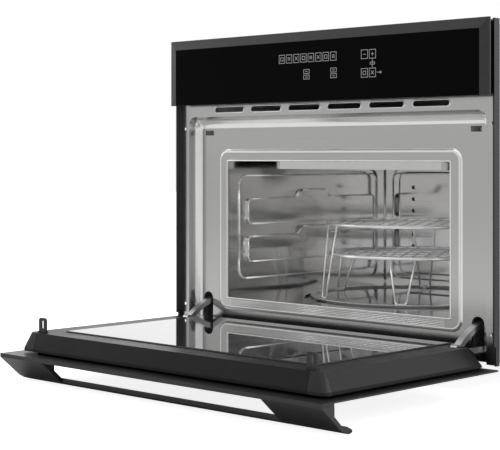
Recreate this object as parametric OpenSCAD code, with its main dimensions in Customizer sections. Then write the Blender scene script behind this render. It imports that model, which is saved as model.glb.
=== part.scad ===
// Compact built-in wall oven: microwave, grill and convection cavity with a drop-down door.
// Frame: X to the right, Y into the oven, Z up. The origin is the middle of the underside
// of the housing. Depths along Y are counted from the plane of the mounting flange, fy.

/* [Housing] */
// Width of the housing that goes into the niche
housing_w = 560; // [556:1:680]
// Depth of the housing behind the flange
housing_d = 540; // [500:1:650]
// Height of the housing
housing_h = 444; // [420:1:520]
// Sheet thickness of the housing panels
sheet_t = 1.2; // [0.8:0.1:2]

/* [Front] */
// Width of the whole front
front_w = 595; // [590:1:715]
// Height of the whole front above the underside
front_h = 449; // [432:1:530]
// Height at which the control panel starts
panel_z = 348.6; // [330:1:360]
// Width of the bevelled metal trim
bevel_w = 14; // [8:1:20]
// Depth of the bevel
bevel_d = 3.4; // [2:0.1:5]
// Distance from the flange to the front of the glass
face_out = 23.8; // [20:0.2:30]
// Thickness of the front glass
glass_t = 4; // [3:0.5:5]
// Depth of the side trims in front of the flange
rim_d = 10; // [6:1:12]
// Thickness of the side trims
rim_t = 2.5; // [1.5:0.5:4]
// Depth of the recess that the door closes into
recess_d = 18; // [14:1:24]
// Height of the raised band round the cavity opening
band_d = 2; // [1:0.5:4]
// Width of the raised band at the sides
band_w = 17; // [10:1:24]
// Diameter of a cabinet screw hole
screw_hole_d = 4.5; // [3.5:0.1:6]
// Number of vent slots above the door
vents = 6; // [2:1:8]
// Length of a vent slot
vent_w = 60; // [30:1:68]
// Height of a vent slot
vent_h = 7.5; // [5:0.5:8]

/* [Cavity] */
// Width inside the cavity
cavity_w = 418; // [380:1:430]
// Height inside the cavity
cavity_h = 209.6; // [180:1:215]
// Depth inside the cavity from the recess floor
cavity_d = 387; // [340:1:400]
// Height of the cavity floor
cavity_z = 53.2; // [48:1:60]
// Height of the side wall shelf supports off the wall
runner_d = 5; // [3:1:8]

/* [Turntable] */
// Diameter of the turntable plate
plate_d = 318; // [250:1:330]
// Thickness of the plate
plate_t = 2.5; // [2:0.5:5]
// Height of the plate rim above the plate
plate_rim = 3; // [2:0.5:6]
// Diameter of a roller
roller_d = 11; // [8:0.5:11.5]
// Height of the low rack
low_rack_h = 69; // [50:1:80]
// Height of the high rack
high_rack_h = 115; // [100:1:140]
// Distance of the high rack's rim inside the edge of the plate
high_rack_in = 24; // [18:0.5:35]
// Distance of the low rack's rim inside the edge of the plate, between the legs of the high rack
low_rack_in = 28; // [28:0.5:50]
// Thickness of the rack wire
wire_t = 3; // [2:0.5:5]
// Number of parallel wires in a rack
rack_wires = 14; // [6:1:20]

/* [Door] */
// Gap between the door and the control panel
door_gap = 3.6; // [2:0.2:6]
// Distance that the door hangs below the underside
door_drop = 1.6; // [0:0.2:4]
// Thickness of the outer door panel
panel_t = 5.5; // [5:0.5:8]
// Depth of the inner door frame
inner_d = 29; // [24:1:30]
// Thickness of the inner door frame wall
inner_t = 2; // [1.5:0.5:3]
// Clearance of the inner door frame in the recess at the sides
inner_gap = 4; // [2:0.5:8]
// Angle of the door, 0 closed and 90 open
door_angle = 90; // [0:1:90]
// Distance of the hinge axis in front of the flange
hinge_out = 7.9; // [6:0.1:9]
// Height of the hinge axis
hinge_z = 5.4; // [4:0.1:8]
// Diameter of the hinge pins
pin_d = 5; // [4:0.5:6]
// Running clearance of the hinge pins, on the radius
pin_gap = 0.08; // [0.03:0.01:0.1]
// Running clearance of motor shafts, rollers and plungers, on the radius
run_gap = 0.1; // [0.05:0.01:0.1]
// Width of a handle bracket
bracket_w = 93.5; // [60:1:120]

/* [Hidden] */
$fn = 48;
eps = 0.01;
gap = 0.3;             // clearance between touching curved faces of different bodies
air = 0.5;             // clearance between neighbouring flat pieces

fy = -housing_d / 2;   // plane of the mounting flange
half_w = housing_w / 2;
front_x = front_w / 2;
flange_t = 2;
flange_x = front_x - rim_t;
face_y = fy - face_out;
floor_y = fy + recess_d;               // front of the recess floor
back_y = floor_y + cavity_d;           // front of the cavity back wall
cavity_x = cavity_w / 2;
cavity_top = cavity_z + cavity_h;
recess_x = flange_x - 16.7;            // recess half width at the flange
recess_in = recess_x - 3.3;            // recess half width at its floor
recess_top = panel_z - 17.6;           // recess top at the flange
recess_in_top = recess_top - 8.4;      // recess top at its floor
recess_r = 13;
band_top = cavity_top + 15.5;
band_bottom = cavity_z - 15.5;
vent_z = panel_z - 7.1;
vent_pitch = 75.9;
screw_x = flange_x - 8;
screw_z_low = 39.3;
screw_z_high = recess_top - 17.7;
tray_z = cavity_top + 14;              // component tray above the insulation

// rectangle from x -hx to hx and z z0 to z1, drawn at depth y0 to y1
module slab(hx, y0, y1, z0, z1) translate([-hx, y0, z0]) cube([2 * hx, y1 - y0, z1 - z0]);
// a block from corner a to corner b
module block(a, b) translate(a) cube(b - a);
// the same children at both sides of the oven
module both() for (s = [0, 1]) mirror([s, 0, 0]) children();
// a flat outline in X and Z, made a plate between y0 and y1
module plate(y0, y1) translate([0, y1, 0]) rotate([90, 0, 0]) linear_extrude(y1 - y0) children();
// a flat outline in Y and Z, made a plate between x0 and x1
module side_plate(x0, x1) translate([x0, 0, 0]) rotate([90, 0, 90]) linear_extrude(x1 - x0) children();
// outline with two round top corners and square lower ones
module arch(hx, z0, z1, r) {
  translate([-hx, z0]) square([2 * hx, z1 - z0 - r]);
  translate([-hx + r, z0]) square([2 * hx - 2 * r, z1 - z0]);
  for (s = [-1, 1]) translate([s * (hx - r), z1 - r]) circle(r);
}
// outline with four round corners
module rounded(x0, z0, x1, z1, r) {
  translate([x0 + r, z0]) square([x1 - x0 - 2 * r, z1 - z0]);
  translate([x0, z0 + r]) square([x1 - x0, z1 - z0 - 2 * r]);
  for (x = [x0 + r, x1 - r], z = [z0 + r, z1 - r]) translate([x, z]) circle(r);
}
// a slot with round ends
module slot(w, h) {
  square([w - h, h], center = true);
  for (s = [-1, 1]) translate([s * (w - h) / 2, 0]) circle(d = h);
}
// a rod along Y from y0 to y1
module rod_y(x, z, d, y0, y1) translate([x, y0, z]) rotate([-90, 0, 0]) cylinder(d = d, h = y1 - y0);
// a rod along X from x0 to x1
module rod_x(y, z, d, x0, x1) translate([x0, y, z]) rotate([0, 90, 0]) cylinder(d = d, h = x1 - x0);
// a rod along Z from z0 to z1
module rod_z(x, y, d, z0, z1) translate([x, y, z0]) cylinder(d = d, h = z1 - z0);
// a straight wire between two points
module wire(a, b, d) {
  v = b - a;
  translate(a) rotate([0, acos(v[2] / norm(v)), atan2(v[1], v[0])]) cylinder(d = d, h = norm(v));
}

// ---------- front frame ----------
latch_x = recess_in - 24.8;
latch_w = 17.5;
latch_z = recess_in_top - 16;
hinge_x = 253;
hinge_slot_w = 20;
hinge_slot_z0 = 7.6;
hinge_slot_z1 = 59;

module recess_solid(grow) hull() {
  plate(fy - 1, fy) arch(recess_x + grow, -1 - grow, recess_top + grow, recess_r, $fn = 32);
  plate(floor_y - eps, floor_y) arch(recess_in + grow, -1 - grow, recess_in_top + grow, recess_r, $fn = 32);
}
module front_frame() color("silver") {
  difference() {
    union() {
      slab(flange_x, fy, fy + flange_t, 0, front_h - 1);
      difference() {
        recess_solid(1.5);
        slab(front_w, fy - 2, fy, -20, front_h);
        slab(front_w, fy - 2, floor_y + 2, -20, 0);
      }
      slab(recess_in + 1.5, floor_y - eps, floor_y + flange_t, 0, recess_in_top + 1.5);
    }
    recess_solid(0);
    // control opening behind the control panel
    slab(170, fy - 1, fy + flange_t + 1, panel_z + 14, front_h - 16);
    for (i = [0 : vents - 1])
      plate(fy - 1, fy + flange_t + 1)
        translate([(i - (vents - 1) / 2) * vent_pitch, vent_z]) slot(vent_w, vent_h);
    for (s = [-1, 1], z = [screw_z_low, screw_z_high])
      rod_y(s * screw_x, z, screw_hole_d, fy - 1, fy + flange_t + 1);
    plate(floor_y - 1, floor_y + flange_t + 1) {
      translate([-cavity_x, cavity_z]) square([cavity_w, cavity_h]);
      for (s = [-1, 1]) {
        translate([s * latch_x, latch_z]) square([latch_w, 7.6], center = true);
        translate([s * hinge_x, (hinge_slot_z0 + hinge_slot_z1) / 2])
          rotate(90) slot(hinge_slot_z1 - hinge_slot_z0, hinge_slot_w);
      }
    }
  }
  // raised band round the opening
  plate(floor_y - band_d, floor_y) difference() {
    rounded(-cavity_x - band_w, band_bottom, cavity_x + band_w, band_top, 15);
    translate([-cavity_x, cavity_z]) square([cavity_w, cavity_h]);
  }
}
module side_trims() color("dimgray") both() difference() {
  block([flange_x, fy - rim_d, 0], [front_x, fy + flange_t, front_h - 1]);
  // step at the lower end that clears the door
  block([flange_x - 1, fy - rim_d - 1, -1], [front_x + 1, fy - rim_d + 4, 25]);
}

// ---------- housing ----------
frame_back = fy + flange_t;
wrap_y = floor_y + flange_t + 1;       // the sides start behind the recess floor
rear_y = fy + housing_d;

module outer_wrap() color("lightgray") difference() {
  block([-half_w, frame_back, sheet_t], [half_w, rear_y - sheet_t, housing_h]);
  block([-half_w + sheet_t, frame_back - 1, -1], [half_w - sheet_t, rear_y, housing_h - sheet_t]);
  block([-half_w - 1, frame_back - 1, -1], [half_w + 1, wrap_y, recess_top + 6]);
  // louvres in the left side for cooling air
  for (i = [0 : 9]) block([-half_w - 1, rear_y - 60 - i * 14, housing_h - 80],
                          [-half_w + 5, rear_y - 53 - i * 14, housing_h - 30]);
}
module base_pan() color("gainsboro") difference() {
  union() {
    block([-half_w, wrap_y, 0], [half_w, rear_y - sheet_t, sheet_t]);
    both() block([half_w - sheet_t - 6, wrap_y, 0], [half_w - sheet_t - 5, rear_y - sheet_t, 20]);
  }
  // vent holes under the turntable motor
  for (x = [-2 : 2], y = [-2 : 2]) rod_z(x * 16, turn_y + y * 16, 7, -1, sheet_t + 1);
}
module rear_panel() color("lightgray") difference() {
  slab(half_w, rear_y - sheet_t, rear_y, 0, housing_h);
  for (i = [0 : 11], k = [0 : 3])
    plate(rear_y - 3, rear_y + 1) translate([-210 + i * 20, housing_h - 50 - k * 16]) slot(14, 6);
  block([inlet_x - 26, rear_y - 3, inlet_z - 16], [inlet_x + 26, rear_y + 1, inlet_z + 16]);
  for (x = [-half_w + 12, 0, half_w - 12], z = [12, housing_h - 12]) rod_y(x, z, 3.6, rear_y - 3, rear_y + 1);
}
module panel_screws() color("silver")
  for (x = [-half_w + 12, 0, half_w - 12], z = [12, housing_h - 12]) {
    rod_y(x, z, 3.4, rear_y - 8, rear_y);
    difference() {
      rod_y(x, z, 7.5, rear_y, rear_y + 2.2);
      block([x - 2.6, rear_y + 1, z - 0.5], [x + 2.6, rear_y + 3, z + 0.5]);
      block([x - 0.5, rear_y + 1, z - 2.6], [x + 0.5, rear_y + 3, z + 2.6]);
    }
  }

// ---------- cavity ----------
liner_t = 1;
turn_y = floor_y + 194;                // turntable axis
dish_r = 168;
dish_d = 13;
dish_z = cavity_z - dish_d;            // floor of the round recess under the turntable
fan_z = cavity_z + 98;
fan_hole_r = 92;
lamp_x = 187;
lamp_y = floor_y + 60;
port_y0 = floor_y + 185;
port_y1 = floor_y + 245;
port_z0 = cavity_z + 170;
port_z1 = cavity_z + 192;

// outline of a shelf support in Y and Z, with the raised stretch in the middle
module runner(z0, rear_h) {
  y0 = floor_y + 38;
  translate([y0, z0]) rounded(0, 0, 312, 39, 8);
  polygon([[y0 + 114, z0 + 38], [y0 + 127, z0 + 51], [y0 + 182, z0 + 51], [y0 + 195, z0 + rear_h],
           [y0 + 195, z0 + 30], [y0 + 114, z0 + 30]]);
}
module wall_panel() rounded(floor_y + 23, cavity_z + 27, floor_y + 362, cavity_z + 187, 14);
liner_seam = 0.05;                     // seam between the welded panels of the cavity
module liner_side() {
  block([cavity_x, floor_y + flange_t, cavity_z - liner_t], [cavity_x + liner_t, back_y - liner_seam, cavity_top + liner_t]);
  side_plate(cavity_x - 1.5, cavity_x + eps) wall_panel();
  side_plate(cavity_x - 1.5 - runner_d, cavity_x - 1.5 + eps) {
    runner(cavity_z + 112, 39);
    runner(cavity_z + 53, 38);
  }
}
// five welded panels: two pressed sides, roof, back, and floor with the turntable dish
module cavity_liner() color("darkgray") {
  flat_x = cavity_x - liner_seam;
  difference() {
    both() liner_side();
    block([cavity_x - 3, port_y0, port_z0], [cavity_x + 5, port_y1, port_z1]);
  }
  difference() {
    block([-flat_x, floor_y + flange_t, cavity_top], [flat_x, back_y - liner_seam, cavity_top + liner_t]);
    rod_z(lamp_x, lamp_y, 30, cavity_top - 2, cavity_top + 5);
    for (s = [-1, 1]) rod_z(s * grill_end_x, grill_end_y, 9, cavity_top - 2, cavity_top + 5);
  }
  plate(back_y, back_y + liner_t) difference() {
    translate([-cavity_x - liner_t, cavity_z - liner_t]) square([cavity_w + 2 * liner_t, cavity_h + 2 * liner_t]);
    translate([0, fan_z]) circle(fan_hole_r);
  }
  difference() {
    union() {
      block([-flat_x, floor_y + flange_t, cavity_z - liner_t], [flat_x, back_y - liner_seam, cavity_z]);
      rod_z(0, turn_y, 2 * dish_r + 2 * liner_t, dish_z - liner_t, cavity_z - liner_t / 2);
    }
    rod_z(0, turn_y, 2 * dish_r, dish_z, cavity_z + 1);
    rod_z(0, turn_y, 17, dish_z - 5, dish_z + 5);
  }
}
module insulation_blanket() color("khaki") difference() {
  union() {
    block([-cavity_x - 12, floor_y + 12, cavity_top + liner_t + air], [cavity_x + 12, back_y - 2, tray_z - 1]);
    both() block([cavity_x + liner_t + air, floor_y + 12, cavity_z], [cavity_x + 12, back_y - 2, tray_z - 1]);
  }
  rod_z(lamp_x, lamp_y, 40, cavity_top - 2, tray_z + 5);
  block([cavity_x - 3, port_y0 - 12, port_z0 - 8], [cavity_x + 25, port_y1 + 12, tray_z + 5]);
  for (s = [-1, 1]) rod_z(s * grill_end_x, grill_end_y, 14, cavity_top - 2, tray_z + 5);
}
module component_tray() color("silver") difference() {
  union() {
    block([-half_w + sheet_t + air, floor_y + flange_t + 4, tray_z],
          [half_w - sheet_t - air, rear_y - 8, tray_z + sheet_t]);
    both() block([half_w - sheet_t - air - 1.2, floor_y + flange_t + 4, tray_z],
                 [half_w - sheet_t - air, rear_y - 8, tray_z + 14]);
  }
  rod_z(lamp_x, lamp_y, 40, tray_z - 2, tray_z + 5);
  block([guide_x0 - 1, port_y0 - 13, tray_z - 2], [guide_x1 + 1, port_y1 + 13, tray_z + 5]);
  both() block([latch_x - 18, floor_y, tray_z - 1], [half_w + 1, floor_y + 48, tray_z + 15]);
  for (s = [-1, 1]) rod_z(s * grill_end_x, grill_end_y, 14, tray_z - 2, tray_z + 5);
}

// ---------- control panel ----------
glass_x = front_x - bevel_w - air;
// front trim: bevelled strips on the edges named by top, bottom and the two sides
module bevelled_trim(z0, z1, top, bottom) {
  y_back = face_y + glass_t;
  inner_z0 = z0 + (bottom ? bevel_w : 0);
  inner_z1 = z1 - (top ? bevel_w : 0);
  low = bottom ? 0 : -20;
  high = top ? 0 : 20;
  difference() {
    intersection() {
      hull() {
        slab(front_x, face_y + bevel_d, y_back, z0 + low, z1 + high);
        slab(front_x - bevel_w, face_y, y_back, z0 + low + (bottom ? bevel_w : 0), z1 + high - (top ? bevel_w : 0));
      }
      slab(front_x, face_y - 1, y_back, z0, z1);
    }
    slab(front_x - bevel_w, face_y - 1, y_back + 1, inner_z0 - (bottom ? 0 : 2), inner_z1 + (top ? 0 : 2));
  }
}
module control_trim() color("dimgray") {
  bevelled_trim(panel_z, front_h, true, false);
  difference() {
    slab(front_x, face_y + glass_t, face_y + glass_t + 1.5, panel_z, front_h);
    slab(150, face_y, fy, panel_z + 16, front_h - 18);
  }
}
module control_glass() color("black")
  slab(glass_x, face_y, face_y + glass_t, panel_z + 0.4, front_h - bevel_w - air);
module control_carrier() color([0.12, 0.12, 0.12]) difference() {
  slab(front_x - 5, face_y + glass_t + 1.5, fy, panel_z + 2, front_h - 4);
  slab(150, face_y, fy + 1, panel_z + 16, front_h - 18);
  for (s = [-1, 1]) slab_hole(s * 220);
}
module slab_hole(x) block([x - 60, face_y + glass_t + 4, panel_z + 10], [x + 60, fy + 1, front_h - 12]);
module display_board() color("darkgreen") difference() {
  union() {
    slab(148, face_y + glass_t + 2, face_y + glass_t + 3.6, panel_z + 18, front_h - 20);
    // display window and touch pads
    slab(34, face_y + glass_t + 0.4, face_y + glass_t + 2, panel_z + 46, panel_z + 66);
    for (x = [-130 : 20 : -50], z = [30, 50]) slab_pad(x, z);
    for (x = [60 : 20 : 120], z = [30, 50]) slab_pad(x, z);
    block([-20, face_y + glass_t + 3.6, panel_z + 24], [20, face_y + glass_t + 12, panel_z + 32]);
  }
  for (x = [-142, 142], z = [panel_z + 23, front_h - 25]) rod_y(x, z, 3.2, face_y, fy);
}
module slab_pad(x, z) rod_y(x, panel_z + z, 10, face_y + glass_t + 0.6, face_y + glass_t + 2);
board_x = 60;
board_y = floor_y + 290;
module power_board() color("darkgreen") translate([board_x, board_y, tray_z + 12]) {
  difference() {
    block([0, 0, 0], [160, 120, 1.6]);
    for (x = [6, 154], y = [6, 114]) rod_z(x, y, 3.2, -1, 3);
  }
  for (x = [6, 154], y = [6, 114]) difference() {
    rod_z(x, y, 6.4, sheet_t - 12, 0);
    rod_z(x, y, 3.2, -8, 1);
  }
  for (i = [0 : 4]) block([20 + i * 24, 80, 1.5], [36 + i * 24, 108, 18]);
  block([20, 10, 1.5], [64, 46, 34]);
  for (x = [84, 106]) rod_z(x, 28, 16, 1.5, 28);
  for (i = [0 : 3]) block([120, 12 + i * 15, 1.5], [136, 22 + i * 15, 12]);
}

// ---------- cooling air ----------
blower_x = -40;
blower_y = floor_y + 300;
blower_z = tray_z + sheet_t + 6;
blower_r = 62;
blower_h = 48;
wheel_r = 48;
duct_front = fy + flange_t + 0.5;
duct_back = blower_y - blower_r - 12;
module duct_solid(t) hull() {
  slab(236 + t, duct_front - (t > 0 ? 0 : 1), duct_front + 4, vent_z - 6 - t, vent_z + 7 + t);
  block([blower_x - 60 - t, duct_back - 3, blower_z - t], [blower_x + 60 + t, duct_back + (t > 0 ? 0 : 1), blower_z + blower_h + t]);
}
module air_duct() color("whitesmoke") difference() {
  duct_solid(1.5);
  duct_solid(0);
}
module blower_housing() color("whitesmoke") {
  difference() {
    union() {
      rod_z(blower_x, blower_y, 2 * blower_r + 3, blower_z - 1.5, blower_z + blower_h + 1.5);
      block([blower_x - 61.5, duct_back + air, blower_z - 1.5], [blower_x + 61.5, blower_y, blower_z + blower_h + 1.5]);
    }
    rod_z(blower_x, blower_y, 2 * blower_r, blower_z, blower_z + blower_h);
    block([blower_x - 60, duct_back - 1, blower_z], [blower_x + 60, blower_y, blower_z + blower_h]);
    rod_z(blower_x, blower_y, 70, blower_z + blower_h - 1, blower_z + blower_h + 5);
  }
  for (a = [45 : 90 : 315]) translate([blower_x, blower_y, 0]) rotate(a) rod_z(blower_r - 4, 0, 6, tray_z + sheet_t, blower_z - 1.5);
}
module blower_motor() color("dimgray") {
  top = blower_z + blower_h + 3;
  difference() {
    rod_z(blower_x, blower_y, 60, top, top + 26);
    rod_z(blower_x, blower_y, 6 + 2 * run_gap, top - 1, top + 4);
  }
  for (a = [0, 120, 240]) translate([blower_x, blower_y, 0]) rotate(a) {
    block([24, -5, top], [56, 5, top + 2]);
    rod_z(50, 0, 5, blower_z + blower_h + 1.5, top);
  }
}
module blower_wheel() color("lightsteelblue") translate([blower_x, blower_y, 0]) {
  z0 = blower_z + 3;
  cylinder_ring(wheel_r, 22, z0, z0 + 2);
  cylinder_ring(wheel_r, wheel_r - 8, z0 + 38, z0 + 40);
  for (i = [0 : 23]) rotate(i * 15) translate([wheel_r - 7, -0.8, z0]) rotate(20) cube([8, 1.4, 39]);
  for (a = [0 : 60 : 300]) rotate(a) block([4, -2, z0], [26, 2, z0 + 2]);
  cylinder_ring(8, 2.9, z0, z0 + 26);
  rod_z(0, 0, 6, z0 + 2, blower_z + blower_h + 6);
}
module cylinder_ring(r_out, r_in, z0, z1) translate([0, 0, z0]) difference() {
  cylinder(r = r_out, h = z1 - z0);
  translate([0, 0, -1]) cylinder(r = r_in, h = z1 - z0 + 2);
}

// ---------- microwave source ----------
guide_x0 = cavity_x + liner_t + air;
guide_x1 = guide_x0 + 36;
guide_top = tray_z + 34;
mag_x = (guide_x0 + guide_x1) / 2 - 8;
mag_y = (port_y0 + port_y1) / 2;
module waveguide() color("silver") difference() {
  union() {
    block([guide_x0, port_y0 - 8, port_z0 - 4], [guide_x1, port_y1 + 8, guide_top]);
    block([mag_x - 40, mag_y - 42, guide_top - 1.2], [guide_x1, mag_y + 42, guide_top]);
  }
  block([guide_x0 + 1.2, port_y0 - 6.8, port_z0 - 2.8], [guide_x1 - 1.2, port_y1 + 6.8, guide_top - 1.2]);
  block([guide_x0 - 1, port_y0, port_z0], [guide_x0 + 3, port_y1, port_z1]);
  rod_z(guide_x0 + 18, mag_y, 17, guide_top - 3, guide_top + 1);
}
module magnetron() color("lightsteelblue") {
  z = guide_top + 0.2;
  difference() {
    block([mag_x - 36, mag_y - 40, z], [mag_x + 36, mag_y + 40, z + 62]);
    block([mag_x - 34.5, mag_y - 41, z + 1.5], [mag_x + 34.5, mag_y + 41, z + 60.5]);
  }
  rod_z(mag_x, mag_y, 38, z + 1, z + 61);
  for (i = [0 : 6]) block([mag_x - 34.6, mag_y - 34, z + 9 + i * 7], [mag_x + 34.6, mag_y + 34, z + 9.8 + i * 7]);
  block([mag_x - 20, mag_y - 24, z + 61.9], [mag_x + 20, mag_y + 24, z + 80]);
  rod_z(guide_x0 + 18, mag_y, 14, guide_top - 20, z + 1);
}
module waveguide_cover() color("wheat")
  block([cavity_x - 2.6, port_y0 - 5, port_z0 - 2.5], [cavity_x - 1.7, port_y1 + 5, port_z1 + 2.5]);
module hv_transformer() color("sienna") {
  z = tray_z + sheet_t;
  y0 = floor_y + 330;
  difference() {
    block([-250, y0, z], [-160, y0 + 100, z + 76]);
    block([-238, y0 - 1, z + 14], [-213, y0 + 101, z + 62]);
    block([-197, y0 - 1, z + 14], [-172, y0 + 101, z + 62]);
  }
  for (x = [-237.5, -196.5]) block([x, y0 - 14, z + 14.5], [x + 24, y0 + 114, z + 61.5]);
  difference() {
    block([-256, y0 + 8, z], [-154, y0 + 92, z + 2]);
    block([-249.9, y0 + 7, z - 1], [-160.1, y0 + 93, z + 3]);
  }
}
module hv_capacitor() color("silver") {
  z = tray_z + sheet_t;
  translate([-128, floor_y + 395, z]) {
    linear_extrude(74) slot(50, 32);
    for (x = [-10, 10]) translate([x, 0, 74]) cylinder(d = 5, h = 8);
    difference() {
      translate([0, 0, 20]) linear_extrude(14) slot(53, 35);
      translate([0, 0, 19]) linear_extrude(16) slot(50, 32);
    }
    translate([26, -8, 0]) cube([14, 16, 1.5]);
    translate([26, -8, 0]) cube([1.2, 16, 30]);
  }
}
inlet_x = 190;
inlet_z = housing_h - 60;
module mains_filter() color("beige") {
  z = tray_z + sheet_t;
  block([160, rear_y - 90, z], [225, rear_y - 40, z + 32]);
  for (i = [0 : 3]) block([168 + i * 14, rear_y - 80, z + 32], [173 + i * 14, rear_y - 79, z + 40]);
}
module terminal_block() color([0.15, 0.15, 0.15]) difference() {
  union() {
    block([inlet_x - 25, rear_y - 14, inlet_z - 15], [inlet_x + 25, rear_y + 2, inlet_z + 15]);
    block([inlet_x - 30, rear_y, inlet_z - 19], [inlet_x + 30, rear_y + 2, inlet_z + 19]);
  }
  // recess that takes the plug of a detachable lead
  block([inlet_x - 13, rear_y - 12, inlet_z - 9], [inlet_x + 13, rear_y + 5, inlet_z + 9]);
}

// ---------- convection system ----------
module fan_cover() color("darkgray") difference() {
  union() {
    plate(back_y - 2.5, back_y - eps) rounded(-189, cavity_z + 8, 189, cavity_z + 196, 16);
    plate(back_y - 4.5, back_y - 2.5 + eps) rounded(-174, cavity_z + 18, 174, cavity_z + 190, 14);
  }
  plate(back_y - 3.2, back_y + 1) rounded(-170, cavity_z + 22, 170, cavity_z + 186, 12);
  for (r = [1 : 4], i = [0 : 6 * r - 1])
    rotate_hole(r * 13, i * 60 / r, 7);
  for (s = [-1, 1], i = [0 : 6]) plate(back_y - 8, back_y + 1)
    translate([s * 125, cavity_z + 44 + i * 20]) slot(46, 6);
}
module rotate_hole(r, a, d) rod_y(r * cos(a), fan_z + r * sin(a), d, back_y - 8, back_y + 1);
chamber_y0 = back_y + liner_t;
chamber_y1 = chamber_y0 + 46;
module fan_chamber() color("silver") difference() {
  union() {
    rod_y(0, fan_z, 2 * fan_hole_r + 12, chamber_y0 + gap, chamber_y0 + gap + 1);
    rod_y(0, fan_z, 2 * fan_hole_r, chamber_y0 + gap, chamber_y1);
  }
  rod_y(0, fan_z, 2 * fan_hole_r - 2.4, chamber_y0 - 1, chamber_y1 - 1.2);
  rod_y(0, fan_z, 14, chamber_y1 - 3, chamber_y1 + 1);
  for (s = [-1, 1]) rod_y(s * 14, fan_z + 76, 9, chamber_y1 - 3, chamber_y1 + 1);
}
module fan_motor() color("dimgray") {
  difference() {
    rod_y(0, fan_z, 62, chamber_y1 + 14, chamber_y1 + 50);
    rod_y(0, fan_z, 8 + 2 * run_gap, chamber_y1 + 10, chamber_y1 + 20);
  }
  difference() {
    rod_y(0, fan_z, 78, chamber_y1 + 12, chamber_y1 + 14);
    rod_y(0, fan_z, 8 + 2 * run_gap, chamber_y1 + 10, chamber_y1 + 20);
  }
  for (a = [30, 150, 270]) rod_y(35 * cos(a), fan_z + 35 * sin(a), 6, chamber_y1, chamber_y1 + 13);
}
module convection_fan() color("silver") {
  y0 = chamber_y0 + 12;
  difference() {
    rod_y(0, fan_z, 120, y0, y0 + 1.2);
    rod_y(0, fan_z, 7, y0 - 1, y0 + 3);
  }
  for (i = [0 : 7]) translate([0, y0 + 1, fan_z]) rotate([0, i * 45, 0]) translate([14, 0, -0.6]) cube([45, 20, 1.2]);
  rod_y(0, fan_z, 22, y0 + 1, y0 + 12);
  rod_y(0, fan_z, 8, y0 - 4, chamber_y1 + 18);
}
module ring_heater() color("darkslategray") {
  translate([0, chamber_y0 + 22, fan_z]) rotate([90, 0, 0]) rotate([0, 0, 100.5])
    rotate_extrude(angle = 339) translate([77.3, 0]) circle(d = 6.5);
  for (s = [-1, 1]) rod_y(s * 14, fan_z + 76, 6.5, chamber_y0 + 20, chamber_y1 + 12);
}

// ---------- grill ----------
grill_end_x = 60;
grill_end_y = floor_y + 320;
grill_z = cavity_top - 6;
module grill_element() color("darkslategray") {
  x = [-60, -20, 20, 60];
  y0 = floor_y + 120;
  for (i = [0, 3]) rod_y(x[i], grill_z, 6.5, y0 + 20, grill_end_y);
  for (i = [1, 2]) rod_y(x[i], grill_z, 6.5, y0 + 20, grill_end_y - 40);
  for (s = [-1, 1]) translate([s * 40, y0 + 20, grill_z]) rotate([0, 0, 180])
    rotate_extrude(angle = 180) translate([20, 0]) circle(d = 6.5);
  translate([0, grill_end_y - 40, grill_z]) rotate_extrude(angle = 180) translate([20, 0]) circle(d = 6.5);
  for (s = [-1, 1]) {
    rod_z(s * grill_end_x, grill_end_y, 6.5, grill_z, tray_z + 4);
    translate([s * grill_end_x, grill_end_y, grill_z]) sphere(d = 6.5);
  }
}
module grill_reflector() color("gainsboro") difference() {
  translate([0, 0, cavity_top - 12]) linear_extrude(12 - eps)
    rounded(-165, floor_y + 45, 165, floor_y + 345, 24);
  translate([0, 0, cavity_top - 10.8]) linear_extrude(16) rounded(-158, floor_y + 52, 158, floor_y + 338, 20);
  for (x = [-100 : 40 : 100], y = [110 : 16 : 302])
    translate([x, floor_y + y, cavity_top - 16]) linear_extrude(6) slot(30, 7);
}
module cavity_lamp() color("ivory") {
  difference() {
    rod_z(lamp_x, lamp_y, 36, cavity_top + liner_t + gap, cavity_top + 44);
    rod_z(lamp_x, lamp_y, 30, cavity_top - 1, cavity_top + 40);
  }
  rod_z(lamp_x, lamp_y, 29, cavity_top - 1.5, cavity_top + 3);
  rod_z(lamp_x, lamp_y, 12, cavity_top + 12, cavity_top + 41);
  for (a = [0, 90]) translate([lamp_x, lamp_y, 0]) rotate(a) block([-15.2, -1, cavity_top + 1.6], [15.2, 1, cavity_top + 3]);
}

// ---------- turntable ----------
plate_z = dish_z + gap + roller_d + gap;         // underside of the plate
plate_top = plate_z + plate_t;
ring_r = 118;
module turntable_motor() color("silver") difference() {
  union() {
    rod_z(0, turn_y, 50, dish_z - liner_t - 21, dish_z - liner_t - 1);
    block([-33, turn_y - 7, dish_z - liner_t - 2], [33, turn_y + 7, dish_z - liner_t - 0.2]);
    block([-25, turn_y + 20, dish_z - liner_t - 18], [25, turn_y + 32, dish_z - liner_t - 4]);
  }
  rod_z(0, turn_y, 8 + 2 * run_gap, dish_z - liner_t - 12, dish_z + 1);
}
module roller_ring() color("whitesmoke") translate([0, turn_y, 0]) {
  z = dish_z + gap + roller_d / 2;
  cylinder_ring(ring_r + 5, ring_r - 5, z - 2.4, z + 2.4);
  for (a = [0, 120, 240]) rotate(a) {
    rod_x(0, z, 4, ring_r + 4, ring_r + 24);
    rod_x(0, z, 6.4, ring_r + 22.5, ring_r + 24.5);
  }
}
module roller(a) color("whitesmoke") translate([0, turn_y, 0]) rotate(a) difference() {
  z = dish_z + gap + roller_d / 2;
  rod_x(0, z, roller_d, ring_r + 10, ring_r + 22);
  rod_x(0, z, 4 + 2 * run_gap, ring_r + 9, ring_r + 23);
}
module roller_1() roller(0);
module roller_2() roller(120);
module roller_3() roller(240);
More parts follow.
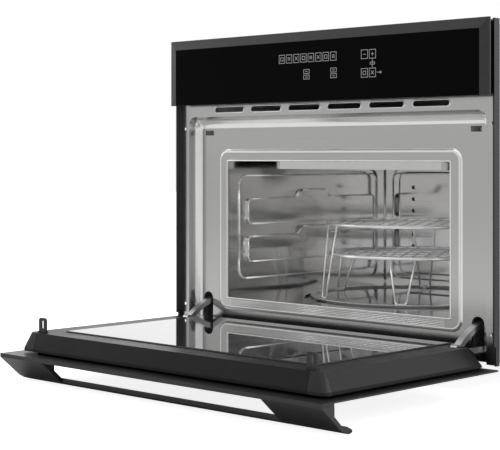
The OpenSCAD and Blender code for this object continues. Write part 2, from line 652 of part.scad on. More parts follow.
module turntable_plate() color("gray") translate([0, turn_y, 0]) {
  rotate_extrude($fn = 96) polygon([[0, plate_z], [plate_d / 2 - 5, plate_z], [plate_d / 2, plate_z + plate_rim + 1],
    [plate_d / 2, plate_top + plate_rim], [plate_d / 2 - 2, plate_top + plate_rim], [plate_d / 2 - 7, plate_top], [0, plate_top]]);
  // three-lobed coupler under the plate, on the motor shaft
  rod_z(0, 0, 8, dish_z - 11, plate_z + eps);
  rod_z(0, 0, 15, dish_z - 0.8, plate_z + eps);
  for (a = [0, 120, 240]) rotate(a) block([0, -3.5, dish_z + 2], [21, 3.5, plate_z + eps]);
}

// ---------- racks ----------
// One rack: a rim, parallel wires from rim to rim, and three legs, each a narrow U
module rack(d, h, first) {
  r = d / 2 - 2.5;
  top = plate_top + gap + h;
  foot_r = plate_d / 2 - 13;
  foot_z = plate_top + gap + wire_t / 2;
  translate([0, turn_y, 0]) {
    translate([0, 0, top - 2.5]) rotate_extrude() translate([r, 0]) circle(d = 5);
    for (i = [1 : rack_wires]) {
      y = d * (i / (rack_wires + 1) - 0.5);
      x = sqrt(r * r - y * y) - 0.4;
      rotate(first) translate([0, y, 0]) rod_x(0, top - 2.5, wire_t, -x, x);
    }
    for (a = [0, 120, 240]) rotate(a + first) {
      for (s = [-1, 1]) {
        wire([r - 0.3, s * 19, top - 3.2], [foot_r, s * 7, foot_z], wire_t);
        translate([foot_r, s * 7, foot_z]) sphere(d = wire_t + 0.3);
      }
      rod_y(foot_r, foot_z, wire_t, -7, 7);
    }
  }
}
module low_rack() color("silver") rack(plate_d - 2 * low_rack_in, low_rack_h, 60);
module high_rack() color("silver") rack(plate_d - 2 * high_rack_in, high_rack_h, 0);

// ---------- hinges, latches ----------
hinge_y = fy - hinge_out;
tongue_z = hinge_slot_z0 + 5.6;
tongue_x0 = hinge_x + 5.7;
tongue_x1 = hinge_x + 8.7;
arm_x0 = hinge_x - 7;
arm_x1 = hinge_x + 3;
receiver_y1 = floor_y + 150;
module hinge_receivers() color("silver") both() {
  // channel behind the slot, open at the front
  difference() {
    block([hinge_x - 12, floor_y + flange_t, 2], [hinge_x + 12, receiver_y1, 74]);
    block([hinge_x - 10.5, floor_y - 1, 3.5], [hinge_x + 10.5, receiver_y1 - 1.5, 72.5]);
    block([hinge_x - 13, floor_y + 90, 12], [hinge_x + 13, receiver_y1 - 12, 60]);
  }
  // tongue through the slot, which carries the door pin
  difference() {
    union() {
      block([tongue_x0, hinge_y - 4, tongue_z], [tongue_x1, floor_y + 40, tongue_z + 7]);
      rod_x(hinge_y, hinge_z, pin_d + 6, tongue_x0, tongue_x1);
      block([tongue_x0, hinge_y - 4, hinge_z], [tongue_x1, hinge_y + 4, tongue_z + 7]);
    }
    rod_x(hinge_y, hinge_z, pin_d + 2 * pin_gap, tongue_x0 - 1, tongue_x1 + 1);
  }
  block([tongue_x0, floor_y + 30, 3], [hinge_x + 10.6, floor_y + 40, tongue_z + 7]);
}

// The arm hangs on the door at link and keeps its own direction as the door turns.
link_open = [-22.1, 15.6];                       // from the hinge axis, door open
link_r = norm(link_open);
link_a = atan2(link_open[1], link_open[0]);
link_pin_d = 4;
function link_at(angle) = [link_r * cos(link_a - 90 + angle), link_r * sin(link_a - 90 + angle)];
module arm_pose() {
  move = link_at(door_angle) - link_open;
  translate([0, hinge_y + link_open[0] + move[0], hinge_z + link_open[1] + move[1]]) children();
}
arm_r = 112;
arm_c = [77.6, -79.5];                           // middle of the arm's curve, from the link
arm_h = 7.5;
module arm_outline() difference() {
  union() {
    intersection() {
      translate(arm_c) difference() {
        circle(arm_r, $fn = 180);
        circle(arm_r - arm_h, $fn = 180);
      }
      translate([-5, -6]) square([91, 51]);
    }
    circle(d = link_pin_d + 7);
  }
  circle(d = link_pin_d + 2 * pin_gap);
}
module hinge_arm(s) color("silver") mirror([s < 0 ? 1 : 0, 0, 0]) arm_pose() difference() {
  side_plate(arm_x0, arm_x1) arm_outline();
  // channel: open below, closed by the curved back
  side_plate(arm_x0 + 1.5, arm_x1 - 1.5) difference() {
    translate(arm_c) circle(arm_r - 1.5, $fn = 180);
    translate([-7, -7]) square([14, 60]);
  }
}
module hinge_arm_left() hinge_arm(-1);
module hinge_arm_right() hinge_arm(1);
// The spring lies between the end of the arm and the rear of the receiver.
spring_d = 11;
spring_z = 52;
spring_y0 = hinge_y + link_open[0] + 86 + air;
module hinge_spring(s) color("gray") rod_y(s * (hinge_x - 2), spring_z, spring_d, spring_y0, receiver_y1 - 1.5);
module hinge_spring_left() hinge_spring(-1);
module hinge_spring_right() hinge_spring(1);

module latch_housings() color([0.85, 0.85, 0.8]) both() difference() {
  union() {
    block([latch_x - 16, floor_y + flange_t, latch_z - 14], [latch_x + 16, floor_y + 44, latch_z + 10]);
    for (z = [-40, -28]) block([latch_x - 10, floor_y + 16, latch_z + z], [latch_x + 10, floor_y + 44, latch_z + z + 10]);
    block([latch_x - 12, floor_y + 14, latch_z - 42], [latch_x - 9, floor_y + 46, latch_z - 12]);
  }
  block([latch_x - 11, floor_y - 1, latch_z - 5], [latch_x + 11, floor_y + 24, latch_z + 6]);
  rod_y(latch_x, latch_z, 6 + 2 * run_gap, floor_y + 20, floor_y + 38);
}
hook_reach = 20.5;
module plunger(s) color("white")
  rod_y(s * latch_x, latch_z, 6, face_y + panel_t + inner_d + hook_reach + air, floor_y + 33);
module plunger_left() plunger(-1);
module plunger_right() plunger(1);

// ---------- door, drawn closed and turned by door_pose ----------
door_z0 = -door_drop;
door_z1 = panel_z - door_gap;
back_face = face_y + panel_t;                    // back of the outer door panel
inner_face = back_face + inner_d;                // face of the inner frame
inner_top = recess_in_top - 7.6;
inner_x = recess_in - inner_gap;
inner_bottom = 0.6;
glass_top = door_z1 - 22;
win_x = 230;
win_z0 = 12;
win_z1 = inner_top - 36;
module door_pose() translate([0, hinge_y, hinge_z]) rotate([door_angle, 0, 0])
  translate([0, -hinge_y, -hinge_z]) children();
flare_x = 10;                                    // growth of the inner frame towards its base, at the sides
flare_z = 6;                                     // and at the top
neck = 3;                                        // dark gap between the inner frame and the panel
module inner_solid(t, lift) difference() {
  hull() {
    plate(back_face + neck - lift, back_face + neck + 4 - lift)
      arch(inner_x + flare_x - t, inner_bottom + t, inner_top + flare_z - t, 10, $fn = 32);
    plate(inner_face - t - 1, inner_face - t) arch(inner_x - t, inner_bottom + t, inner_top - t, 10, $fn = 32);
  }
  // slope at the lower corners, outside the hinges
  both() side_plate(hinge_x + 11 - t, front_x) translate([0, t])
    polygon([[back_face - 5, 4], [back_face - 5, -9], [inner_face + 5, -9], [inner_face + 5, 33]]);
}
module hinge_pockets() both() block([hinge_x - 9.5, back_face - eps, -5], [hinge_x + 11, inner_face + 1, 36]);
module corner_zone(grow) both()
  block([inner_x - 17 - grow, back_face + neck / 2, inner_top - 7 - grow], [inner_x + 40, inner_face + 2, inner_top + 40]);
module inner_shell() difference() {
  inner_solid(0, 0);
  inner_solid(inner_t, 1);
  plate(inner_face - 5, inner_face + 1) rounded(-win_x - 3.3, win_z0 - 3.3, win_x + 3.3, win_z1 + 3.3, 6);
}
// foot that carries the inner frame on the panel, set back from its edge
module frame_neck() difference() {
  plate(back_face, back_face + neck + 2) arch(inner_x - 2, 8, inner_top - 9, 10, $fn = 32);
  plate(back_face - 1, back_face + neck + 3) arch(inner_x - 4, 10, inner_top - 11, 8, $fn = 32);
}
module door_inner_frame() color([0.25, 0.25, 0.25]) door_pose() {
  difference() {
    union() {
      inner_shell();
      frame_neck();
      // webs that join the foot to the sides of the frame
      both() for (z = [60 : 80 : 220])
        block([inner_x - 3, back_face + neck + 1, z], [inner_x + flare_x - 1.5, back_face + neck + 3, z + 20]);
    }
    hinge_pockets();
    corner_zone(gap);
  }
  // cheeks in the hinge pockets, which hold the hinge pins and the pins of the arms
  both() {
    cheek(hinge_x + 11, 2);
    cheek(hinge_x + 3.7, 1.4);
    cheek(hinge_x - 11, 1.5);
    rod_x(hinge_y, hinge_z, pin_d, hinge_x + 3.8, hinge_x + 12);
    rod_x(hinge_y + link_shut[0], hinge_z + link_shut[1], link_pin_d, hinge_x - 10, hinge_x + 4);
  }
}
link_shut = link_at(0);
module cheek(x, t) side_plate(x, x + t) polygon([[back_face, 1.5], [hinge_y + 5, 1.5],
  [hinge_y + link_shut[0] + 2.8, 21], [hinge_y + link_shut[0] + 2.8, 34], [back_face, 36]]);
module door_corner_caps() color([0.16, 0.16, 0.16]) door_pose() intersection() {
  inner_shell();
  corner_zone(0);
}
module door_trim() color("dimgray") door_pose() {
  bevelled_trim(door_z0, door_z1, false, true);
  difference() {
    slab(front_x, face_y + glass_t, back_face, door_z0, door_z1);
    slab(200, face_y, fy, cavity_z + 2, cavity_top - 12);
  }
  slab(front_x, face_y, back_face, glass_top + air, door_z1);
}
module door_glass_outer() color("black") door_pose()
  slab(glass_x, face_y, face_y + glass_t, door_z0 + bevel_w + air, glass_top);
module door_choke() color("silver") door_pose() difference() {
  union() {
    slab(win_x + 8, inner_face - 3.4, inner_face - 2, win_z0 - 8, win_z1 + 8);
    slab(196, back_face, inner_face - 2, cavity_z - 8, cavity_top - 2);
  }
  slab(190, back_face - 1, inner_face, cavity_z - 2, cavity_top - 8);
}
module door_screen() color("gray") door_pose()
  slab(189.5, back_face + 10, back_face + 10.6, cavity_z - 1.5, cavity_top - 8.5);
module door_glass_inner() color([0.2, 0.2, 0.22]) door_pose()
  plate(inner_face - 2, inner_face + 1.6) rounded(-win_x, win_z0, win_x, win_z1, 4);
module door_gasket() color([0.08, 0.08, 0.08]) door_pose()
  plate(inner_face - 2, inner_face + 0.8) difference() {
    rounded(-win_x - 3, win_z0 - 3, win_x + 3, win_z1 + 3, 5.5);
    rounded(-win_x - 0.2, win_z0 - 0.2, win_x + 0.2, win_z1 + 0.2, 4);
  }
// handle section in Y and Z, from the front of the door and from its top edge
handle_out = 34.7;
module handle_outline() translate([face_y, door_z1]) polygon([
  [0, 0], [-28.7, -33], [-33.4, -41.5], [-handle_out, -46.6], [-34.2, -51], [-32.3, -53.4], [-30.2, -53],
  [-25.4, -43.6], [-23.6, -34.4], [-11.7, -21.9], [0, -21.9]]);
module handle_brackets() color([0.25, 0.25, 0.25]) door_pose() both()
  side_plate(front_x - bracket_w, front_x) handle_outline();
module handle_bar() color([0.3, 0.3, 0.3]) door_pose() intersection() {
  side_plate(-front_x + bracket_w + 0.1, front_x - bracket_w - 0.1) handle_outline();
  slab(front_x, face_y - 60, face_y - 22, door_z1 - 80, door_z1 - 34.4);
}
module latch_hooks() color([0.2, 0.2, 0.2]) door_pose() both() difference() {
  union() {
    block([latch_x - 8, inner_face, latch_z - 1.2], [latch_x + 8, inner_face + hook_reach - 6, latch_z + 1.2]);
    translate([0, 0, latch_z - 1.2]) linear_extrude(2.4)
      translate([latch_x, inner_face + hook_reach - 6]) slot_cap();
    block([latch_x - 8, inner_face, latch_z - 3], [latch_x + 8, inner_face + 2, latch_z + 3]);
  }
  block([latch_x - 2.2, inner_face + 6, latch_z - 5], [latch_x + 2.2, inner_face + 16.5, latch_z + 5]);
}
module slot_cap() polygon([[-8, -eps], [8, -eps], [8, 3.5], [5.5, 6], [-5.5, 6], [-8, 3.5]]);

front_frame();
side_trims();
outer_wrap();
base_pan();
rear_panel();
panel_screws();
cavity_liner();
insulation_blanket();
component_tray();
control_trim();
control_glass();
control_carrier();
display_board();
power_board();
air_duct();
blower_housing();
blower_motor();
blower_wheel();
magnetron();
waveguide();
waveguide_cover();
hv_transformer();
hv_capacitor();
mains_filter();
terminal_block();
fan_cover();
fan_chamber();
fan_motor();
convection_fan();
ring_heater();
grill_element();
grill_reflector();
cavity_lamp();
turntable_motor();
roller_ring();
roller_1();
roller_2();
roller_3();
turntable_plate();
low_rack();
high_rack();
hinge_receivers();
hinge_spring_left();
hinge_spring_right();
latch_housings();
plunger_left();
plunger_right();
hinge_arm_left();
hinge_arm_right();
door_trim();
door_glass_outer();
door_inner_frame();
door_corner_caps();
door_choke();
door_screen();
door_glass_inner();
door_gasket();
handle_brackets();
handle_bar();
latch_hooks();
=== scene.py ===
"""Looks of a compact built-in wall oven with its drop-down door open."""

import logging
import math
from dataclasses import dataclass, field
from enum import Enum

import bmesh
import bpy
from mathutils import Matrix, Vector


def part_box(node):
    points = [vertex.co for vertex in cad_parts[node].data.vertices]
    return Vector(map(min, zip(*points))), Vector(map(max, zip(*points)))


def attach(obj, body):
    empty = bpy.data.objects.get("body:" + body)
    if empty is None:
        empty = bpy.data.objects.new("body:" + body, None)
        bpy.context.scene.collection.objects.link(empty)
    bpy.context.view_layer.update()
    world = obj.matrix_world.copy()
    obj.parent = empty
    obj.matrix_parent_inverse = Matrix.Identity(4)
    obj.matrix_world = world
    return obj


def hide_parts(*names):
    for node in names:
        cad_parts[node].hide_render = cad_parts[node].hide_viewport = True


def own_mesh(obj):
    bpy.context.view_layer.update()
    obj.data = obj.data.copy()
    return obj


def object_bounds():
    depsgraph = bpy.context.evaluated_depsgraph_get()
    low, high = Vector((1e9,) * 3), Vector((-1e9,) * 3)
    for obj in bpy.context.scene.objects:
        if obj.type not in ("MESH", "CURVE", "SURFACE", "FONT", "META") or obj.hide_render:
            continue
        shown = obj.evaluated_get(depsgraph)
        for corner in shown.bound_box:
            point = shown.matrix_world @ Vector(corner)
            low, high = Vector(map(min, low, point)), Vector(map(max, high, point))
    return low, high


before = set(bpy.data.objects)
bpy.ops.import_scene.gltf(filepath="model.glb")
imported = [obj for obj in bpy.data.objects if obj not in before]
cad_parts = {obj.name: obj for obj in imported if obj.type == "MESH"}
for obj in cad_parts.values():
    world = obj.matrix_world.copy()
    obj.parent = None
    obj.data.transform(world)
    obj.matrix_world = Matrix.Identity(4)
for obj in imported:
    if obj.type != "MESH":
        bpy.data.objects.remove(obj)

CAD_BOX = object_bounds()
LOG = logging.getLogger("oven")
Colour = tuple[float, float, float]
Edges = list[bmesh.types.BMEdge]
Mesh = bmesh.types.BMesh
Point = tuple[float, float]
Pairs = tuple[Point, ...]
Box = tuple[float, float, float, float]
Socket = bpy.types.NodeSocket
Node = bpy.types.Node
Tree = bpy.types.NodeTree
Material = bpy.types.Material
Object = bpy.types.Object
MM = 0.001
FLAT_TO_UPRIGHT = Matrix.Rotation(math.pi / 2, 4, "X")


# ---------- camera, floor and light ----------
@dataclass
class Studio:
    """Camera, pale floor and soft studio light.

    Attributes:
        eye: place of the camera.
        turn_deg: turn of the view to the left of +Y.
        lens_mm: focal length on a 36 mm sensor.
        shift_y: vertical shift that keeps upright edges upright.
        sky: grey of the world at heights from straight down (0) to straight up (1).
        sky_power: strength of the world.
        behind: how much brighter the world gets towards +Y.
        floor_glow: emission of the floor as the camera sees it.
        floor_dim: grey of the floor to all other rays.
        boxes: name, place, aim, size and watts of each soft box.
    """

    eye: tuple[float, float, float] = (1.3306, -1.8099, 0.2699)
    turn_deg: float = 43.8
    lens_mm: float = 102.2
    shift_y: float = -0.137
    sky: Pairs = ((0.0, 0.3), (0.42, 0.3), (0.485, 0.5), (0.51, 0.8),
                  (0.56, 0.62), (0.66, 0.7), (0.8, 1.0), (1.0, 1.0))
    sky_power: float = 0.9
    behind: float = 1.5
    floor_glow: float = 0.85
    floor_dim: float = 0.55
    boxes: tuple[tuple[str, Colour, Colour, Point, float], ...] = (
        ("top_box", (0.1, -0.9, 2.4), (0, -0.1, 0.1), (2.4, 1.2), 22),
        ("left_box", (-2.6, -1.3, 1.3), (0, -0.1, 0.2), (0.6, 1.6), 9),
        ("right_box", (2.4, 0.5, 1.0), (0.2, -0.1, 0.2), (0.6, 1.6), 14),
        ("oven_light", (0.0, -0.06, 0.2545), (0, -0.059, 0.1), (0.34, 0.24), 0.24),
    )

    def camera(self) -> Object:
        """Makes the camera.

        Returns:
            The camera object.
        """
        data = bpy.data.cameras.new("camera")
        data.lens, data.sensor_width, data.shift_y = self.lens_mm, 36, self.shift_y
        data.clip_start = 0.05
        cam = bpy.data.objects.new("camera", data)
        bpy.context.collection.objects.link(cam)
        cam.location = self.eye
        cam.rotation_euler = (math.pi / 2, 0, math.radians(self.turn_deg))
        bpy.context.scene.camera = cam
        bpy.context.scene.view_settings.view_transform = "Standard"
        return cam

    def floor(self) -> Object:
        """Makes the pale floor under the lowest point of the oven.

        Returns:
            The floor object.
        """
        bm = bmesh.new()
        bmesh.ops.create_grid(bm, x_segments=1, y_segments=1, size=8)
        bmesh.ops.translate(bm, verts=bm.verts, vec=(0, 0, CAD_BOX[0].z - 0.001))
        floor = to_object(bm, "floor", smooth=False)
        mat = bpy.data.materials.new("pale_floor")
        mat.use_nodes = True
        graph = Graph(mat.node_tree)
        shader = graph.tree.nodes["Principled BSDF"]
        shader.inputs["Roughness"].default_value = 0.9
        shader.inputs["Specular IOR Level"].default_value = 0.1
        shader.inputs["Emission Color"].default_value = (1, 1, 1, 1)
        shader.inputs["Emission Strength"].default_value = self.floor_glow
        place = graph.add("ShaderNodeTexCoord").outputs["Object"]
        mottle = graph.noise(place, 2.0, 2)
        graph.link(graph.mix(mottle, (0.8,) * 3, (0.84,) * 3), shader.inputs["Base Color"])
        dim = graph.add("ShaderNodeBsdfDiffuse")
        dim.inputs["Color"].default_value = (self.floor_dim,) * 3 + (1,)
        pick = graph.add("ShaderNodeMixShader")
        graph.link(graph.add("ShaderNodeLightPath").outputs["Is Camera Ray"], pick.inputs[0])
        graph.link(dim.outputs[0], pick.inputs[1])
        graph.link(shader.outputs[0], pick.inputs[2])
        graph.link(pick.outputs[0], graph.tree.nodes["Material Output"].inputs["Surface"])
        floor.data.materials.append(mat)
        return floor

    def world(self) -> None:
        """White to the camera; to other rays a gradient that is bright above and behind, dim below."""
        world = bpy.data.worlds.new("studio")
        bpy.context.scene.world = world
        world.use_nodes = True
        graph = Graph(world.node_tree)
        out = world.node_tree.nodes["World Output"]
        light = world.node_tree.nodes["Background"]
        place = graph.add("ShaderNodeTexCoord").outputs["Generated"]
        axes = graph.add("ShaderNodeSeparateXYZ")
        graph.link(place, axes.inputs[0])
        ramp = graph.add("ShaderNodeValToRGB")
        graph.link(graph.math("MULTIPLY_ADD", axes.outputs["Z"], 0.5, 0.5), ramp.inputs[0])
        band = ramp.color_ramp.elements
        for element, (where, value) in zip((band[0], band[1]), (self.sky[0], self.sky[-1])):
            element.position, element.color = where, (value,) * 3 + (1,)
        for where, value in self.sky[1:-1]:
            band.new(where).color = (value,) * 3 + (1,)
        behind = graph.math("MULTIPLY_ADD", graph.math("MAXIMUM", axes.outputs["Y"], 0.0), self.behind, 1.0)
        lift = graph.add("ShaderNodeVectorMath")
        lift.operation = "SCALE"
        graph.link(ramp.outputs[0], lift.inputs[0])
        graph.link(behind, lift.inputs["Scale"])
        graph.link(lift.outputs[0], light.inputs["Color"])
        light.inputs["Strength"].default_value = self.sky_power
        eye = graph.add("ShaderNodeBackground")
        eye.inputs["Color"].default_value = (1, 1, 1, 1)
        rays = graph.add("ShaderNodeLightPath")
        pick = graph.add("ShaderNodeMixShader")
        graph.link(rays.outputs["Is Camera Ray"], pick.inputs[0])
        graph.link(light.outputs[0], pick.inputs[1])
        graph.link(eye.outputs[0], pick.inputs[2])
        graph.link(pick.outputs[0], out.inputs["Surface"])

    def lamps(self) -> None:
        """Soft boxes above, at the left and at the right, and a small one under the roof of the cavity."""
        for name, at, aim, size, watts in self.boxes:
            data = bpy.data.lights.new(name, "AREA")
            data.shape, data.size, data.size_y, data.energy = "RECTANGLE", size[0], size[1], watts
            lamp = bpy.data.objects.new(name, data)
            lamp.visible_camera = False
            bpy.context.collection.objects.link(lamp)
            lamp.location = at
            lamp.rotation_euler = (Vector(at) - Vector(aim)).to_track_quat("Z", "Y").to_euler()

    def build(self) -> None:
        """Makes camera, floor, world and lamps."""
        for step in (self.camera, self.floor, self.world, self.lamps):
            step()


# ---------- node and mesh helpers ----------
class Graph:
    """Adds and joins nodes in one node tree."""

    def __init__(self, tree: Tree) -> None:
        """Keeps the tree that nodes are added to."""
        self.tree = tree

    def add(self, kind: str, **settings: object) -> Node:
        """Adds a node.

        Args:
            kind: Blender's name of the node type.
            settings: attributes to set on it.

        Returns:
            The new node.
        """
        node = self.tree.nodes.new(kind)
        for key, value in settings.items():
            setattr(node, key, value)
        return node

    def link(self, a: Socket, b: Socket) -> None:
        """Joins output a to input b."""
        self.tree.links.new(a, b)

    def feed(self, value: object, socket: Socket) -> None:
        """Gives an input its value.

        Args:
            value: a socket to link, or a plain value to set.
            socket: the input.
        """
        if isinstance(value, Socket):
            self.link(value, socket)
        else:
            socket.default_value = value

    def math(self, what: str, a: object, b: object = 0.0, c: object = 0.0) -> Socket:
        """Adds a Math node.

        Args:
            what: Blender's name of the operation.
            a: first value or socket.
            b: second value or socket.
            c: third value or socket.

        Returns:
            Its output.
        """
        node = self.add("ShaderNodeMath", operation=what)
        for value, socket in zip((a, b, c), node.inputs):
            self.feed(value, socket)
        return node.outputs[0]

    def mix(self, factor: object, a: object, b: object) -> Socket:
        """Mixes two colours.

        Args:
            factor: share of the second colour.
            a: first colour or socket.
            b: second colour or socket.

        Returns:
            The mixed colour.
        """
        node = self.add("ShaderNodeMix", data_type="RGBA")
        self.feed(factor, node.inputs["Factor"])
        for value, socket in ((a, node.inputs[6]), (b, node.inputs[7])):
            self.feed((*value, 1) if isinstance(value, tuple) else value, socket)
        return node.outputs[2]

    def noise(self, place: Socket, scale: float, detail: float) -> Socket:
        """Adds a Noise texture.

        Args:
            place: coordinates.
            scale: scale of the pattern.
            detail: its detail.

        Returns:
            Its factor.
        """
        node = self.add("ShaderNodeTexNoise")
        self.link(place, node.inputs["Vector"])
        self.feed(scale, node.inputs["Scale"])
        self.feed(detail, node.inputs["Detail"])
        return node.outputs["Fac"]

    def bump(self, height: Socket, strength: float, depth: float) -> Socket:
        """Adds a Bump node.

        Args:
            height: height over the surface.
            strength: strength of the effect.
            depth: depth in metres.

        Returns:
            Its normal.
        """
        node = self.add("ShaderNodeBump")
        self.link(height, node.inputs["Height"])
        node.inputs["Strength"].default_value = strength
        node.inputs["Distance"].default_value = depth
        return node.outputs[0]


def to_object(bm: Mesh, name: str, smooth: bool = True) -> Object:
    """Turns a finished bmesh into a shown object at the origin.

    Args:
        bm: the mesh, which is freed.
        name: name of the object.
        smooth: whether faces are shaded smooth.

    Returns:
        The new object.
    """
    bmesh.ops.recalc_face_normals(bm, faces=bm.faces)
    for face in bm.faces:
        face.smooth = smooth
    mesh = bpy.data.meshes.new(name)
    bm.to_mesh(mesh)
    bm.free()
    obj = bpy.data.objects.new(name, mesh)
    bpy.context.collection.objects.link(obj)
    return obj


def rod(bm: Mesh, a: Vector, b: Vector, radius: float, sides: int = 12,
        domed: bool = True) -> None:
    """Adds a straight round wire.

    Args:
        bm: mesh to draw in.
        a: one end.
        b: other end.
        radius: radius of the wire.
        sides: facets round the wire.
        domed: whether both ends are domed.
    """
    way = b - a
    turn = way.to_track_quat("Z", "Y").to_matrix().to_4x4()
    bmesh.ops.create_cone(bm, cap_ends=True, segments=sides, radius1=radius, radius2=radius,
                          depth=way.length, matrix=Matrix.Translation((a + b) / 2) @ turn)
    for end in (a, b) if domed else ():
        bmesh.ops.create_icosphere(bm, subdivisions=2, radius=radius, matrix=Matrix.Translation(end))


def edges_of(verts: list[bmesh.types.BMVert]) -> Edges:
    """The edges of some vertices, each once and always in the same order."""
    return list(dict.fromkeys(e for v in verts for e in v.link_edges))


def ring(bm: Mesh, centre: Vector, radius: float, wire: float, steps: int = 96) -> None:
    """Adds a round wire ring that lies flat.

    Args:
        bm: mesh to draw in.
        centre: its middle.
        radius: radius of its centre line.
        wire: radius of the wire.
        steps: facets of the ring.
    """
    start = Matrix.Translation(centre + Vector((radius, 0, 0))) @ FLAT_TO_UPRIGHT
    made = bmesh.ops.create_circle(bm, segments=14, radius=wire, cap_ends=False, matrix=start)
    bmesh.ops.spin(bm, geom=made["verts"] + edges_of(made["verts"]), cent=centre, axis=(0, 0, 1),
                   angle=2 * math.pi, steps=steps, use_merge=True)


def chain(bm: Mesh, path: list[Vector], radius: float) -> None:
    """Joins points to a closed round bead."""
    for a, b in zip(path, path[1:] + path[:1]):
        rod(bm, a, b, radius, 8, domed=False)


# ---------- shared effects ----------
class Effects:
    """Node groups that more than one finish uses, each built once."""

    made: dict[str, Tree] = {}
    fine_share: float = 0.6
    wide_share: float = 0.4
    wide_scale: float = 0.23

    @classmethod
    def _group(cls, name: str, scale: float, result: str) -> tuple[Graph, Node, Node]:
        """Starts a group with the inputs Place and Scale and one number output.

        Args:
            name: name of the group.
            scale: default of the input Scale.
            result: name of the output.

        Returns:
            The graph, its input node and its output node.
        """
        tree = bpy.data.node_groups.new(name, "ShaderNodeTree")
        tree.interface.new_socket("Place", in_out="INPUT", socket_type="NodeSocketVector")
        size = tree.interface.new_socket("Scale", in_out="INPUT", socket_type="NodeSocketFloat")
        size.default_value = scale
        tree.interface.new_socket(result, in_out="OUTPUT", socket_type="NodeSocketFloat")
        graph = Graph(tree)
        cls.made[name] = tree
        return graph, graph.add("NodeGroupInput"), graph.add("NodeGroupOutput")

    @classmethod
    def grain(cls) -> Tree:
        """Fine lines of a brushed or rolled surface, on a stretched Place.

        Returns:
            The group.
        """
        if "metal_grain" not in cls.made:
            graph, into, out = cls._group("metal_grain", 400.0, "Lines")
            fine = graph.add("ShaderNodeTexNoise")
            wide = graph.add("ShaderNodeTexNoise")
            for node, detail in ((fine, 3.0), (wide, 1.0)):
                graph.link(into.outputs["Place"], node.inputs["Vector"])
                node.inputs["Detail"].default_value = detail
            graph.link(into.outputs["Scale"], fine.inputs["Scale"])
            graph.link(graph.math("MULTIPLY", into.outputs["Scale"], cls.wide_scale), wide.inputs["Scale"])
            half = graph.math("MULTIPLY", wide.outputs["Fac"], cls.wide_share)
            lines = graph.math("MULTIPLY_ADD", fine.outputs["Fac"], cls.fine_share, half)
            graph.link(lines, out.inputs["Lines"])
        return cls.made["metal_grain"]

    @classmethod
    def smudge(cls) -> Tree:
        """Soft patches left by wiping and handling.

        Returns:
            The group.
        """
        if "wipe_marks" not in cls.made:
            graph, into, out = cls._group("wipe_marks", 9.0, "Patch")
            cloud = graph.add("ShaderNodeTexNoise")
            graph.link(into.outputs["Place"], cloud.inputs["Vector"])
            graph.link(into.outputs["Scale"], cloud.inputs["Scale"])
            cloud.inputs["Detail"].default_value = 4.0
            cloud.inputs["Distortion"].default_value = 0.6
            patch = graph.math("MULTIPLY_ADD", cloud.outputs["Fac"], 2.4, -0.8)
            graph.link(graph.math("MINIMUM", graph.math("MAXIMUM", patch, 0.0), 1.0), out.inputs["Patch"])
        return cls.made["wipe_marks"]

    @classmethod
    def pebble(cls) -> Tree:
        """Fine texture of moulded plastic or powder coat.

        Returns:
            The group.
        """
        if "moulded_texture" not in cls.made:
            graph, into, out = cls._group("moulded_texture", 1400.0, "Height")
            cells = graph.add("ShaderNodeTexVoronoi")
            graph.link(into.outputs["Place"], cells.inputs["Vector"])
            graph.link(into.outputs["Scale"], cells.inputs["Scale"])
            graph.link(cells.outputs["Distance"], out.inputs["Height"])
        return cls.made["moulded_texture"]


def use(graph: Graph, group: Tree, place: Socket, scale: float) -> Socket:
    """Places a shared effect in a material.

    Args:
        graph: graph of the material.
        group: the effect.
        place: coordinates.
        scale: its scale.

    Returns:
        Its first output.
    """
    node = graph.add("ShaderNodeGroup", node_tree=group)
    graph.link(place, node.inputs["Place"])
    node.inputs["Scale"].default_value = scale
    return node.outputs[0]


# ---------- finishes ----------
class Along(Enum):
    """Direction that a brushed grain runs in, as the stretch of the pattern."""

    X = (0.02, 1.0, 1.0)
    Y = (1.0, 0.02, 1.0)
    Z = (1.0, 1.0, 0.02)
    NONE = (1.0, 1.0, 1.0)


@dataclass(frozen=True)
class Finish:
    """What every finish has: a name and a base colour."""

    name: str
    tint: Colour

    def start(self) -> tuple[Material, Graph, Node, Socket]:
        """Makes an empty material.

        Returns:
            The material, its graph, its shader and its Object coordinates.
        """
        mat = bpy.data.materials.new(self.name)
        mat.use_nodes = True
        graph = Graph(mat.node_tree)
        place = graph.add("ShaderNodeTexCoord").outputs["Object"]
        return mat, graph, mat.node_tree.nodes["Principled BSDF"], place

    def shade(self, factor: float) -> Colour:
        """The tint, darker or lighter by a factor."""
        return tuple(min(1.0, c * factor) for c in self.tint)


@dataclass(frozen=True)
class Metal(Finish):
    """Bare or brushed metal with grain lines and wipe marks."""

    roughness: float = 0.3
    along: Along = Along.X
    scale: float = 500.0
    contrast: float = 0.12
    marks: float = 0.06
    bump: float = 0.1
    metallic: float = 1.0

    def material(self) -> Material:
        """Builds the material.

        Returns:
            The material.
        """
        mat, graph, shader, place = self.start()
        shader.inputs["Metallic"].default_value = self.metallic
        turn = graph.add("ShaderNodeMapping")
        turn.inputs["Scale"].default_value = self.along.value
        graph.link(place, turn.inputs["Vector"])
        lines = use(graph, Effects.grain(), turn.outputs[0], self.scale)
        patch = use(graph, Effects.smudge(), place, 9.0)
        tone = graph.mix(lines, self.shade(1 - self.contrast), self.shade(1 + self.contrast))
        graph.link(tone, shader.inputs["Base Color"])
        rough = graph.math("MULTIPLY_ADD", lines, self.contrast, self.roughness - self.contrast / 2)
        graph.link(graph.math("MULTIPLY_ADD", patch, self.marks, rough), shader.inputs["Roughness"])
        graph.link(graph.bump(lines, self.bump, 0.0002), shader.inputs["Normal"])
        return mat


